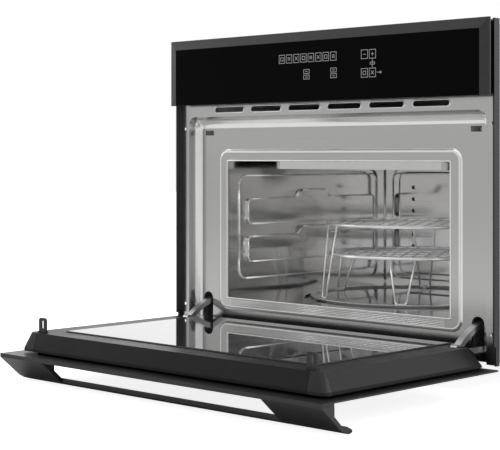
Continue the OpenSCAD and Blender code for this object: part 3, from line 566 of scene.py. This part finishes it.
@dataclass(frozen=True)
class Zinc(Finish):
    """Galvanised sheet with its spangle."""

    roughness: float = 0.42
    spangle: float = 210.0

    def material(self) -> Material:
        """Builds the material.

        Returns:
            The material.
        """
        mat, graph, shader, place = self.start()
        shader.inputs["Metallic"].default_value = 0.9
        cells = graph.add("ShaderNodeTexVoronoi")
        graph.link(place, cells.inputs["Vector"])
        cells.inputs["Scale"].default_value = self.spangle
        tone = graph.add("ShaderNodeSeparateColor")
        graph.link(cells.outputs["Color"], tone.inputs[0])
        patch = use(graph, Effects.smudge(), place, 6.0)
        colour = graph.mix(tone.outputs[0], self.shade(0.92), self.shade(1.06))
        graph.link(colour, shader.inputs["Base Color"])
        rough = graph.math("MULTIPLY_ADD", tone.outputs[0], 0.12, self.roughness - 0.06)
        graph.link(graph.math("MULTIPLY_ADD", patch, 0.08, rough), shader.inputs["Roughness"])
        return mat


@dataclass(frozen=True)
class Moulded(Finish):
    """Plastic, paint or enamel with a fine moulded texture."""

    roughness: float = 0.45
    scale: float = 1500.0
    bump: float = 0.15
    gloss: float = 0.5
    marks: float = 0.08

    def material(self) -> Material:
        """Builds the material.

        Returns:
            The material.
        """
        mat, graph, shader, place = self.start()
        shader.inputs["Specular IOR Level"].default_value = self.gloss
        height = use(graph, Effects.pebble(), place, self.scale)
        patch = use(graph, Effects.smudge(), place, 14.0)
        graph.link(graph.mix(patch, self.shade(0.92), self.shade(1.1)), shader.inputs["Base Color"])
        graph.link(graph.math("MULTIPLY_ADD", patch, self.marks, self.roughness), shader.inputs["Roughness"])
        graph.link(graph.bump(height, self.bump, 0.0001), shader.inputs["Normal"])
        return mat


@dataclass(frozen=True)
class Glass(Finish):
    """Sheet glass: clear and tinted, or backed with opaque black, with a reflecting coat if asked."""

    roughness: float = 0.03
    clear: float = 0.0
    gloss: float = 0.5
    marks: float = 0.03
    index: float = 1.5
    coat: float = 0.0
    coat_index: float = 2.0

    def material(self) -> Material:
        """Builds the material.

        Returns:
            The material.
        """
        mat, graph, shader, place = self.start()
        shader.inputs["Transmission Weight"].default_value = self.clear
        shader.inputs["IOR"].default_value = self.index
        shader.inputs["Coat Weight"].default_value = self.coat
        shader.inputs["Coat Roughness"].default_value = 0.01
        shader.inputs["Coat IOR"].default_value = self.coat_index
        shader.inputs["Specular IOR Level"].default_value = self.gloss
        patch = use(graph, Effects.smudge(), place, 7.0)
        graph.link(graph.mix(patch, self.tint, self.shade(0.94)), shader.inputs["Base Color"])
        graph.link(graph.math("MULTIPLY_ADD", patch, self.marks, self.roughness), shader.inputs["Roughness"])
        return mat


@dataclass(frozen=True)
class Perforated(Finish):
    """Steel sheet with rows of small holes.

    Attributes:
        pitch: distance of the holes, in mm.
        hole: radius of a hole, as a share of the pitch.
    """

    pitch: float = 2.2
    hole: float = 0.34

    def material(self) -> Material:
        """Builds the material.

        Returns:
            The material.
        """
        mat, graph, shader, place = self.start()
        shader.inputs["Metallic"].default_value = 0.8
        axes = graph.add("ShaderNodeSeparateXYZ")
        graph.link(place, axes.inputs[0])
        step = self.pitch * MM
        parts = []
        for axis in ("X", "Y"):
            share = graph.math("FRACT", graph.math("DIVIDE", axes.outputs[axis], step))
            parts.append(graph.math("POWER", graph.math("SUBTRACT", share, 0.5), 2.0))
        far = graph.math("SQRT", graph.math("ADD", parts[0], parts[1]))
        metal = graph.math("GREATER_THAN", far, self.hole)
        graph.link(graph.mix(metal, (0.004, 0.004, 0.004), self.tint), shader.inputs["Base Color"])
        graph.link(graph.math("MULTIPLY_ADD", metal, -0.5, 0.9), shader.inputs["Roughness"])
        return mat


@dataclass(frozen=True)
class Board(Finish):
    """Printed circuit board with tracks under the lacquer."""

    def material(self) -> Material:
        """Builds the material.

        Returns:
            The material.
        """
        mat, graph, shader, place = self.start()
        bricks = graph.add("ShaderNodeTexBrick")
        graph.link(place, bricks.inputs["Vector"])
        bricks.inputs["Scale"].default_value = 60.0
        bricks.inputs["Mortar Size"].default_value = 0.03
        graph.link(graph.mix(bricks.outputs["Fac"], self.tint, self.shade(2.2)), shader.inputs["Base Color"])
        graph.link(graph.math("MULTIPLY_ADD", bricks.outputs["Fac"], -0.15, 0.4), shader.inputs["Roughness"])
        return mat


@dataclass(frozen=True)
class Mark(Finish):
    """Printed mark on the control glass, with a faint painted glow though it is no lamp."""

    painted_glow: float = 0.55

    def material(self) -> Material:
        """Builds the material.

        Returns:
            The material.
        """
        mat, graph, shader, place = self.start()
        shader.inputs["Roughness"].default_value = 0.4
        # The emission is a painted glow on the print.
        shader.inputs["Emission Strength"].default_value = self.painted_glow
        tone = graph.noise(place, 60.0, 1.0)
        graph.link(graph.mix(tone, self.shade(0.9), self.shade(1.1)), shader.inputs["Base Color"])
        graph.link(graph.mix(tone, self.shade(0.8), self.tint), shader.inputs["Emission Color"])
        return mat


@dataclass
class Wardrobe:
    """All finishes, and which CAD node wears which."""

    front_steel: Metal = Metal("front_steel", (0.56, 0.56, 0.55), 0.17, Along.X, 520.0, 0.04, 0.03, 0.03)
    cavity_steel: Metal = Metal("cavity_steel", (0.76, 0.755, 0.75), 0.09, Along.Y, 300.0, 0.03, 0.04, 0.02)
    arm_steel: Metal = Metal("arm_steel", (0.5, 0.5, 0.5), 0.3, Along.Y, 600.0, 0.08, 0.06, 0.05)
    dark_trim: Metal = Metal("dark_trim", (0.062, 0.062, 0.064), 0.34, Along.X, 900.0, 0.14, 0.05, 0.15)
    side_trim: Metal = Metal("side_trim", (0.06, 0.06, 0.062), 0.38, Along.Z, 900.0, 0.14, 0.05, 0.15)
    handle_dark: Metal = Metal("handle_dark", (0.075, 0.075, 0.077), 0.34, Along.X, 900.0, 0.14, 0.05, 0.15)
    # A brighter copy of the front and cavity steel, worn by the pressed lips, edges and beads as a painted
    # highlight.
    painted_highlight_steel: Metal = Metal("painted_highlight_steel", (0.97, 0.97, 0.96), 0.2,
                               Along.NONE, 300.0, 0.03, 0.03, 0.03, 0.75)
    chrome_wire: Metal = Metal("chrome_wire", (0.98, 0.98, 0.98), 0.2,
                               Along.NONE, 200.0, 0.02, 0.04, 0.02, 0.6)
    screw_steel: Metal = Metal("screw_steel", (0.6, 0.6, 0.57), 0.3, Along.NONE, 900.0, 0.08, 0.1, 0.1)
    spring_steel: Metal = Metal("spring_steel", (0.3, 0.3, 0.31), 0.28, Along.NONE, 700.0, 0.08, 0.1, 0.1)
    rolled_aluminium: Metal = Metal("rolled_aluminium", (0.66, 0.67, 0.68), 0.34, Along.X,
                                    400.0, 0.1, 0.08, 0.1)
    oxide_tube: Metal = Metal("oxide_tube", (0.11, 0.115, 0.12), 0.5, Along.NONE, 250.0, 0.2, 0.15, 0.3)
    core_iron: Metal = Metal("core_iron", (0.2, 0.14, 0.09), 0.5, Along.Z, 500.0, 0.18, 0.1, 0.3)
    zinc_sheet: Zinc = Zinc("zinc_sheet", (0.43, 0.445, 0.455))
    black_glass: Glass = Glass("black_glass", (0.002, 0.002, 0.0022), 0.05, 0.0, 0.03)
    inner_glass: Glass = Glass("inner_glass", (0.02, 0.021, 0.023), 0.012,
                                 0.0, 1.0, 0.02, 2.4, 1.0)
    lamp_glass: Glass = Glass("lamp_glass", (0.95, 0.94, 0.9), 0.2, 0.9)
    plate_glass: Glass = Glass("plate_glass", (0.93, 0.95, 0.94), 0.02, 0.6, 1.0, 0.02, 2.0, 1.0)
    black_plastic: Moulded = Moulded("black_plastic", (0.01, 0.01, 0.01), 0.42, 1500.0, 0.1, 0.35)
    frame_plastic: Moulded = Moulded("frame_plastic", (0.008, 0.008, 0.0085), 0.33, 1800.0, 0.08, 0.2)
    white_plastic: Moulded = Moulded("white_plastic", (0.72, 0.72, 0.69), 0.4)
    rubber: Moulded = Moulded("gasket_rubber", (0.014, 0.014, 0.014), 0.6, 900.0, 0.3, 0.3)
    fibre: Moulded = Moulded("mineral_fibre", (0.55, 0.47, 0.26), 0.95, 300.0, 0.9, 0.1)
    mica: Moulded = Moulded("mica_sheet", (0.58, 0.5, 0.37), 0.5, 500.0, 0.3)
    board: Board = Board("circuit_board", (0.01, 0.12, 0.05))
    screen: Perforated = Perforated("perforated_screen", (0.35, 0.35, 0.35))
    mark: Mark = Mark("printed_mark", (0.27, 0.275, 0.28))
    made: dict[str, Material] = field(default_factory=dict)

    def get(self, finish: Finish) -> Material:
        """Finds the material of a finish.

        Args:
            finish: the finish.

        Returns:
            Its material, built at first use.
        """
        if finish.name not in self.made:
            self.made[finish.name] = finish.material()
        return self.made[finish.name]

    def worn(self) -> dict[Finish, tuple[str, ...]]:
        """Which CAD nodes wear each finish.

        Returns:
            Node names by finish.
        """
        return {
            self.front_steel: ("front_frame",),
            self.cavity_steel: ("cavity_liner", "fan_cover", "grill_reflector"),
            self.arm_steel: ("hinge_arm_left", "hinge_arm_right"),
            self.dark_trim: ("control_trim", "door_trim"),
            self.side_trim: ("side_trims", "latch_hooks"),
            self.handle_dark: ("handle_brackets", "handle_bar"),
            self.chrome_wire: ("low_rack", "high_rack"),
            self.screw_steel: ("panel_screws",),
            self.spring_steel: ("hinge_spring_left", "hinge_spring_right"),
            self.rolled_aluminium: ("magnetron", "hv_capacitor", "convection_fan"),
            self.oxide_tube: ("ring_heater", "grill_element"),
            self.core_iron: ("hv_transformer", "blower_motor", "fan_motor"),
            self.zinc_sheet: ("outer_wrap", "base_pan", "rear_panel", "component_tray", "waveguide",
                              "fan_chamber", "turntable_motor", "hinge_receivers", "door_choke"),
            self.black_glass: ("control_glass", "door_glass_outer"),
            self.inner_glass: ("door_glass_inner",),
            self.lamp_glass: ("cavity_lamp",),
            self.plate_glass: ("turntable_plate",),
            self.black_plastic: ("control_carrier", "terminal_block", "mains_filter", "door_corner_caps"),
            self.frame_plastic: ("door_inner_frame",),
            self.white_plastic: ("air_duct", "blower_housing", "blower_wheel", "latch_housings",
                                 "plunger_left", "plunger_right", "roller_ring", "roller_1", "roller_2",
                                 "roller_3"),
            self.rubber: ("door_gasket",),
            self.fibre: ("insulation_blanket",),
            self.mica: ("waveguide_cover",),
            self.board: ("display_board", "power_board"),
            self.screen: ("door_screen",),
        }

    def dress(self) -> None:
        """Gives every CAD node its material."""
        for finish, nodes in self.worn().items():
            for name in nodes:
                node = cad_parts[name]
                if not node.material_slots:
                    node.data.materials.append(None)
                for place in node.material_slots:
                    place.material = self.get(finish)
        LOG.info("dressed %d nodes", sum(len(n) for n in self.worn().values()))


# ---------- sub-assemblies ----------
@dataclass
class Piece:
    """A new piece: its body and finish."""

    wardrobe: Wardrobe

    def settle(self, obj: Object, body: str, slot: str, finish: Finish,
               *stands_for: str) -> Object:
        """Dresses a finished object and fixes it to its body.

        Args:
            obj: the object, at the origin.
            body: the CAD body that it rides on.
            slot: the record's material slot; not used.
            finish: its finish.
            stands_for: CAD nodes that it replaces.

        Returns:
            The same object.
        """
        obj.data.materials.append(self.wardrobe.get(finish))
        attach(obj, body)
        if stands_for:
            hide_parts(*stands_for)
        LOG.info("%s rides on %s", obj.name, body)
        return obj


@dataclass
class ControlMarks(Piece):
    """Thin outlines of touch fields on the control glass.

    Attributes:
        line: width of a stroke.
        proud: how far the marks stand before the glass.
        sheet: thickness of the marks.
        modes: number of mode fields.
        first_x: middle of the first one.
        step_x: their distance.
        modes_z: their middle height.
        tick: half length of a long stroke.
        short: half length of a short stroke.
        square: side of a square sign.
        pairs_x: middles of the pairs of small fields.
        pairs_z: middle heights of the small fields.
    """

    line: float = 0.6 * MM
    proud: float = 0.12 * MM
    sheet: float = 0.1 * MM
    modes: int = 8
    first_x: float = -0.0592
    step_x: float = 0.01395
    modes_z: float = 0.4106
    tick: float = 0.0026
    short: float = 0.0024
    square: float = 0.0054
    pairs_x: Point = (-0.0118, 0.0388)
    pairs_z: Point = (0.3911, 0.3831)

    def outline(self, bm: Mesh, x: float, z: float, w: float, h: float) -> None:
        """Adds a rectangular outline.

        Args:
            bm: mesh to draw in.
            x: its middle across.
            z: its middle height.
            w: its width.
            h: its height.
        """
        place = Matrix.Translation((x, self.face, z)) @ FLAT_TO_UPRIGHT @ Matrix.Diagonal((w, h, 1, 1))
        made = bmesh.ops.create_grid(bm, x_segments=1, y_segments=1, size=0.5, matrix=place)
        face = made["verts"][0].link_faces[0]
        bmesh.ops.inset_region(bm, faces=[face], thickness=self.line, use_boundary=True, use_even_offset=True)
        bmesh.ops.delete(bm, geom=[face], context="FACES")

    def stroke(self, bm: Mesh, a: Point, b: Point) -> None:
        """Adds a straight stroke between two points of the panel.

        Args:
            bm: mesh to draw in.
            a: X and Z of one end.
            b: X and Z of the other end.
        """
        va, vb = Vector((a[0], 0, a[1])), Vector((b[0], 0, b[1]))
        way = vb - va
        turn = Matrix.Rotation(-math.atan2(way.z, way.x), 4, "Y")
        place = Matrix.Translation((va + vb) / 2 + Vector((0, self.face, 0))) @ turn @ FLAT_TO_UPRIGHT
        bmesh.ops.create_grid(bm, x_segments=1, y_segments=1, size=0.5,
                              matrix=place @ Matrix.Diagonal((way.length, self.line, 1, 1)))

    def row_of_modes(self, bm: Mesh) -> None:
        """Adds the mode fields, each with a plain sign.

        Args:
            bm: mesh to draw in.
        """
        z, half = self.modes_z, self.tick
        for i in range(self.modes):
            x = self.first_x + i * self.step_x
            self.outline(bm, x, z, 0.0112, 0.0124)
            if i % 3 == 0:
                self.outline(bm, x, z, self.square, self.square)
            elif i % 3 == 1:
                for drop in (-0.0018, 0, 0.0018):
                    self.stroke(bm, (x - half, z + drop), (x + half, z + drop))
            else:
                self.stroke(bm, (x - half, z - half), (x + half, z + half))
                self.stroke(bm, (x - half, z + half), (x + half, z - half))

    def block_of_four(self, bm: Mesh) -> None:
        """Adds minus, plus, square and cross fields, with a linked sign between them.

        Args:
            bm: mesh to draw in.
        """
        left, right, top, low, middle = 0.0945, 0.1086, 0.4104, 0.3848, 0.3976
        short, half = self.short, self.tick
        for x in (left, right):
            for z in (top, low):
                self.outline(bm, x, z, 0.0118, 0.0126)
        self.stroke(bm, (left - short, top), (left + short, top))
        self.stroke(bm, (right - short, top), (right + short, top))
        self.stroke(bm, (right, top - short), (right, top + short))
        self.outline(bm, left, low, self.square, self.square)
        for rise in (-half, half):
            self.stroke(bm, (right - half, low + rise), (right + half, low - rise))
        for x in (right - 0.002, right + 0.002):
            self.outline(bm, x, middle, 0.0044, 0.0036)
        self.stroke(bm, (right, top - 0.0064), (right, middle + 0.0019))
        self.stroke(bm, (right, low + 0.0064), (right, middle - 0.0019))
        self.stroke(bm, (right + 0.0077, low), (right + 0.0128, low))
        self.outline(bm, right + 0.0142, low, 0.0026, 0.0026)

    def build(self) -> None:
        """Makes all marks as one piece on the housing."""
        low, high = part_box("control_glass")
        self.face = low.y - self.proud
        bm = bmesh.new()
        self.row_of_modes(bm)
        for x in self.pairs_x:
            for z in self.pairs_z:
                self.outline(bm, x, z, 0.0112, 0.0062)
                self.stroke(bm, (x - self.short, z), (x + self.short, z))
        self.block_of_four(bm)
        solid = to_object(bm, "control_marks", smooth=False)
        thick = solid.modifiers.new("thickness", "SOLIDIFY")
        thick.thickness, thick.offset = self.sheet, 0
        self.settle(solid, "housing", "black_glass", self.wardrobe.mark)


@dataclass
class VentLips(Piece):
    """Rounded pressed lips round the cooling slots, worn in a brighter steel than the front as a painted
    highlight.

    Attributes:
        count: number of slots.
        pitch: distance of the slots.
        width: width of a slot.
        height: height of a slot.
        z: middle height of the slots.
        plane: depth of the front's flat sheet.
        profile: pairs of depth from the plane and growth of the outline, in metres.
    """

    count: int = 6
    pitch: float = 75.9 * MM
    width: float = 60 * MM
    height: float = 7.5 * MM
    z: float = 341.5 * MM
    plane: float = -0.27
    profile: Pairs = ((0.0018, 0.0), (-0.0003, 0.0001), (-0.0008, 0.0006), (-0.0005, 0.0014),
                      (0.0001, 0.0019))

    def loop(self, bm: Mesh, x: float, y: float, grow: float) -> Edges:
        """Adds the outline of a slot.

        Args:
            bm: mesh to draw in.
            x: its middle across.
            y: its depth.
            grow: how far it is outside the slot.

        Returns:
            Its edges.
        """
        turn = FLAT_TO_UPRIGHT @ Matrix.Rotation(math.radians(7.5), 4, "Z")
        made = bmesh.ops.create_circle(bm, segments=24, radius=self.height / 2 + grow, cap_ends=False,
                                       matrix=turn)
        reach = (self.width - self.height) / 2
        for vert in made["verts"]:
            vert.co = Vector((vert.co.x + math.copysign(reach, vert.co.x) + x, y, vert.co.z + self.z))
        return edges_of(made["verts"])

    def build(self) -> None:
        """Makes the lips of all slots."""
        bm = bmesh.new()
        for i in range(self.count):
            x = (i - (self.count - 1) / 2) * self.pitch
            rows = [self.loop(bm, x, self.plane + y, grow) for y, grow in self.profile]
            for a, b in zip(rows, rows[1:]):
                bmesh.ops.bridge_loops(bm, edges=a + b)
        self.settle(to_object(bm, "vent_lips"), "housing", "stainless", self.wardrobe.painted_highlight_steel)


@dataclass
class PressedEdges(Piece):
    """Rounded edges of the pressed front: opening lip, band edge, sill ridges and the recess's cove. They
    wear a brighter steel than the front as a painted highlight.

    Outlines are half width, lowest and greatest height and corner radius; profiles are pairs of growth
    and depth; all in mm.

    Attributes:
        opening: outline of the opening.
        lip: profile of its lip.
        band: outline of the raised band.
        edge: profile of its edge.
        recess: outline of the recess.
        cove_lift: how much more the top of the cove grows than its sides do.
        ridge: radius of a sill ridge.
        ridges: number of sill ridges.
    """

    opening: Box = (209, 53.2, 262.8, 1)
    lip: Pairs = ((-0.1, -252.2), (-0.1, -254.3), (0.2, -254.9), (0.9, -255.2), (1.7, -254.9), (2.1, -254.02))
    band: Box = (226, 37.7, 278.3, 15)
    edge: Pairs = ((-2.6, -254.02), (-1.4, -254.12), (-0.4, -254.0), (0.5, -253.5), (1.4, -252.7),
                   (2.6, -252.04))
    recess: Box = (275, -60, 322.6, 13)
    cove_lift: float = 2.55
    ridge: float = 0.35 * MM
    ridges: int = 5

    def loop(self, bm: Mesh, half: float, low: float, high: float, radius: float,
             y: float) -> Edges:
        """Adds a rounded rectangle at depth y.

        Args:
            bm: mesh to draw in.
            half: half of its width.
            low: its lowest height.
            high: its greatest height.
            radius: radius of its corners.
            y: its depth.

        Returns:
            Its edges.
        """
        turn = FLAT_TO_UPRIGHT @ Matrix.Rotation(math.radians(3.75), 4, "Z")
        made = bmesh.ops.create_circle(bm, segments=48, radius=radius, cap_ends=False, matrix=turn)
        reach, rise, middle = half - radius, (high - low) / 2 - radius, (high + low) / 2
        for vert in made["verts"]:
            vert.co = Vector((vert.co.x + math.copysign(reach, vert.co.x), y,
                              vert.co.z + math.copysign(rise, vert.co.z) + middle))
        return edges_of(made["verts"])

    def strip(self, bm: Mesh, box: Box, profile: Pairs,
              lift: float = 1.0) -> None:
        """Adds a closed strip whose profile is given as growth and depth.

        Args:
            bm: mesh to draw in.
            box: half width, lowest and greatest height and corner radius, in mm.
            profile: pairs of growth and depth, in mm.
            lift: how much more the top grows than the sides do, where the strip grows outwards.
        """
        half, low, high, radius = box
        rows = [self.loop(bm, (half + g) * MM, (low - g) * MM, (high + (g * lift if g > 0 else g)) * MM,
                          max(0.4, radius + g) * MM, y * MM) for g, y in profile]
        for a, b in zip(rows, rows[1:]):
            bmesh.ops.bridge_loops(bm, edges=a + b)

    def build(self) -> None:
        """Makes the three strips and the sill ridges, and cuts them off at the floor of the recess."""
        bm = bmesh.new()
        self.strip(bm, self.opening, self.lip)
        self.strip(bm, self.band, self.edge)
        quarter = [i * math.pi / 16 for i in range(9)]
        cove = tuple((-9 + 10.65 * math.sin(t), -252.02 - 9 * (1 - math.cos(t))) for t in quarter)
        self.strip(bm, self.recess, cove, self.cove_lift)
        for i in range(self.ridges):
            z = (41.5 + 2.3 * i) * MM
            rod(bm, Vector((-0.2, -0.25405, z)), Vector((0.2, -0.25405, z)), self.ridge, 8)
        bmesh.ops.bisect_plane(bm, geom=bm.verts[:] + bm.edges[:] + bm.faces[:], plane_co=(0, 0, 0.0005),
                               plane_no=(0, 0, 1), clear_inner=True)
        self.settle(to_object(bm, "pressed_edges"), "housing", "stainless", self.wardrobe.painted_highlight_steel)


@dataclass
class WallBeads(Piece):
    """Fine raised beads round the pressed panels, the shelf supports, the rear cover and in the corners, in a
    brighter steel than the walls as a painted highlight.

    Attributes:
        radius: radius of a bead.
        panel_x: distance of the side panels from the middle, in mm.
        runner_x: distance of the shelf supports from the middle, in mm.
        runners_z: heights that the shelf supports start at, in mm.
        rear: depth, half width, lowest and greatest height and corner radius of rear outlines, in mm.
    """

    radius: float = 1.3 * MM
    panel_x: float = 207.6
    runner_x: float = 202.7
    runners_z: Point = (165.2, 106.2)
    rear: tuple[tuple[float, float, float, float, float], ...] = (
        (132.3, 188.5, 61.7, 248.7, 16), (130.4, 173.5, 71.7, 242.7, 14))

    def corner(self, y: float, z: float, r: float, start_deg: float) -> list[Point]:
        """Points of a quarter turn about y, z that starts at an angle."""
        turns = [math.radians(start_deg + 15 * i) for i in range(7)]
        return [(y + r * math.cos(t), z + r * math.sin(t)) for t in turns]

    def outline(self, y0: float, z0: float, y1: float, z1: float, r: float) -> list[Point]:
        """Points of a rounded rectangle in Y and Z, in mm."""
        return (self.corner(y1 - r, z1 - r, r, 0) + self.corner(y0 + r, z1 - r, r, 90)
                + self.corner(y0 + r, z0 + r, r, 180) + self.corner(y1 - r, z0 + r, r, 270))

    def runner(self, z: float) -> list[Point]:
        """Outline of a shelf support, with the raised stretch in its middle.

        Args:
            z: its lowest height, in mm.

        Returns:
            Its points in Y and Z, in mm.
        """
        y0, y1 = -214.0, 98.0
        raised = [(y0 + 195, z + 39), (y0 + 182, z + 51), (y0 + 127, z + 51), (y0 + 114, z + 38.5)]
        return (self.corner(y1 - 8, z + 31, 8, 0) + raised + self.corner(y0 + 8, z + 31, 8, 90)
                + self.corner(y0 + 8, z + 8, 8, 180) + self.corner(y1 - 8, z + 8, 8, 270))

    def build(self) -> None:
        """Makes the beads of all walls."""
        bm = bmesh.new()
        panel = (self.panel_x, self.outline(-229, 80.2, 110, 240.2, 14))
        supports = [(self.runner_x, self.runner(z)) for z in self.runners_z]
        for side in (-1, 1):
            for x, points in (panel, *supports):
                chain(bm, [Vector((side * x * MM, y * MM, z * MM)) for y, z in points], self.radius)
            corner = Vector((side * 208.2 * MM, 134.2 * MM, 0))
            rod(bm, corner + Vector((0, 0, 0.056)), corner + Vector((0, 0, 0.26)), self.radius, 8)
        for y, half, low, high, r in self.rear:
            points = self.outline(-half, low, half, high, r)
            chain(bm, [Vector((x * MM, y * MM, z * MM)) for x, z in points], self.radius)
        self.settle(to_object(bm, "wall_beads"), "housing", "cavity_steel", self.wardrobe.painted_highlight_steel)


@dataclass
class WireRack(Piece):
    """A round wire rack: rim, top wires, cross wires below them and three legs.

    Attributes:
        node: CAD node that it stands for.
        body: body that it rides on.
        first_deg: direction of the first leg.
        grid_deg: direction of the top wires.
        wires: number of top wires.
        wire: radius of the top wires and legs.
        cross: radius of the cross wires.
        rim: radius of the rim's wire.
        foot_r: distance of the feet from the middle.
    """

    node: str = "low_rack"
    body: str = "rack_low"
    first_deg: float = 60
    grid_deg: float = 120
    wires: int = 14
    wire: float = 1.5 * MM
    cross: float = 1.2 * MM
    rim: float = 2.5 * MM
    foot_r: float = 146 * MM

    def grid(self, bm: Mesh, centre: Vector) -> None:
        """Adds the top wires and the cross wires.

        Args:
            bm: mesh to draw in.
            centre: middle of the rim.
        """
        radius = self.radius
        turn = Matrix.Rotation(math.radians(self.grid_deg), 3, "Z")
        top = centre + Vector((0, 0, 0.6 * MM))
        for i in range(1, self.wires + 1):
            y = 2 * (radius + self.rim) * (i / (self.wires + 1) - 0.5)
            x = math.sqrt(radius**2 - y**2)
            rod(bm, top + turn @ Vector((-x, y, 0)), top + turn @ Vector((x, y, 0)), self.wire)
        under = centre + Vector((0, 0, -1.1 * MM))
        for i in (-2, -1, 0, 1, 2):
            x = i * radius * 0.36
            y = math.sqrt(radius**2 - x**2)
            rod(bm, under + turn @ Vector((x, -y, 0)), under + turn @ Vector((x, y, 0)), self.cross)

    def legs(self, bm: Mesh, centre: Vector, foot: float, top: float) -> None:
        """Adds the three bent legs.

        Args:
            bm: mesh to draw in.
            centre: middle of the rim.
            foot: lowest height.
            top: greatest height.
        """
        foot_z = foot + self.wire
        near, out = self.radius - 0.3 * MM, self.foot_r - 0.1 * MM
        flat = Vector((centre.x, centre.y, 0))
        high, knee = top - 3.2 * MM, foot_z + 3 * MM
        bends = ((near, 19 * MM, high), (out, 8 * MM, knee), (self.foot_r, 5 * MM, foot_z),
                 (self.foot_r, -5 * MM, foot_z), (out, -8 * MM, knee), (near, -19 * MM, high))
        for k in range(3):
            spin = Matrix.Rotation(math.radians(self.first_deg + 120 * k), 3, "Z")
            points = [spin @ Vector(bend) for bend in bends]
            for a, b in zip(points, points[1:]):
                rod(bm, flat + a, flat + b, self.wire)

    def build(self) -> None:
        """Makes the rack in the place of its CAD node."""
        low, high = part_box(self.node)
        plate_low, plate_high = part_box("turntable_plate")
        centre = Vector(((plate_low.x + plate_high.x) / 2, (plate_low.y + plate_high.y) / 2,
                         high.z - self.rim))
        bm = bmesh.new()
        ring(bm, centre, self.radius, self.rim)
        self.grid(bm, centre)
        self.legs(bm, centre, low.z, high.z)
        piece = to_object(bm, self.node + "_wires")
        self.settle(piece, self.body, "chrome_wire", self.wardrobe.chrome_wire, self.node)

    @property
    def radius(self) -> float:
        """Radius of the middle of the rim."""
        return (135 if self.node == "high_rack" else 131) * MM - self.rim


@dataclass
class HingeSpring(Piece):
    """Coil spring behind a hinge arm.

    Attributes:
        side: left or right.
        turns: number of turns.
        facets: steps of a turn.
        wire: radius of the wire.
        keep: share of its length that is left with the door shut; not used.
    """

    side: str = "left"
    turns: int = 22
    facets: int = 16
    wire: float = 0.9 * MM
    keep: float = 0.655

    def build(self) -> None:
        """Makes the coil in the place of its CAD node."""
        name = "hinge_spring_" + self.side
        low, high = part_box(name)
        centre = (low + high) / 2
        coil_r = (high.x - low.x) / 2 - self.wire
        length = high.y - low.y - 2 * self.wire
        bm = bmesh.new()
        start = Vector((centre.x + coil_r, low.y + self.wire, centre.z))
        made = bmesh.ops.create_circle(bm, segments=8, radius=self.wire, cap_ends=True,
                                       matrix=Matrix.Translation(start))
        steps = self.facets * self.turns
        bmesh.ops.spin(bm, geom=list(bm.faces) + list(bm.edges) + made["verts"],
                       cent=(centre.x, 0, centre.z), axis=(0, 1, 0), dvec=Vector((0, length / steps, 0)),
                       angle=2 * math.pi * self.turns, steps=steps)
        bmesh.ops.remove_doubles(bm, verts=bm.verts, dist=1e-6)
        piece = to_object(bm, name + "_coil")
        self.settle(piece, "housing", "spring_steel", self.wardrobe.spring_steel, name)
        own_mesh(piece)


@dataclass
class Oven:
    """The whole oven."""

    wardrobe: Wardrobe = field(default_factory=Wardrobe)

    def pieces(self) -> list[Piece]:
        """The sub-assemblies, in building order.

        Returns:
            The sub-assemblies.
        """
        robe = self.wardrobe
        return [
            ControlMarks(robe),
            VentLips(robe),
            PressedEdges(robe),
            WallBeads(robe),
            WireRack(robe),
            WireRack(robe, node="high_rack", body="rack_high", first_deg=0),
            HingeSpring(robe),
            HingeSpring(robe, side="right"),
        ]

    def build(self) -> None:
        """Dresses the CAD nodes and builds every piece."""
        self.wardrobe.dress()
        for piece in self.pieces():
            piece.build()


def main() -> None:
    """Builds the studio and the oven."""
    logging.basicConfig(level=logging.INFO, format="%(message)s")
    Studio().build()
    Oven().build()


if __name__ == "__main__":
    main()
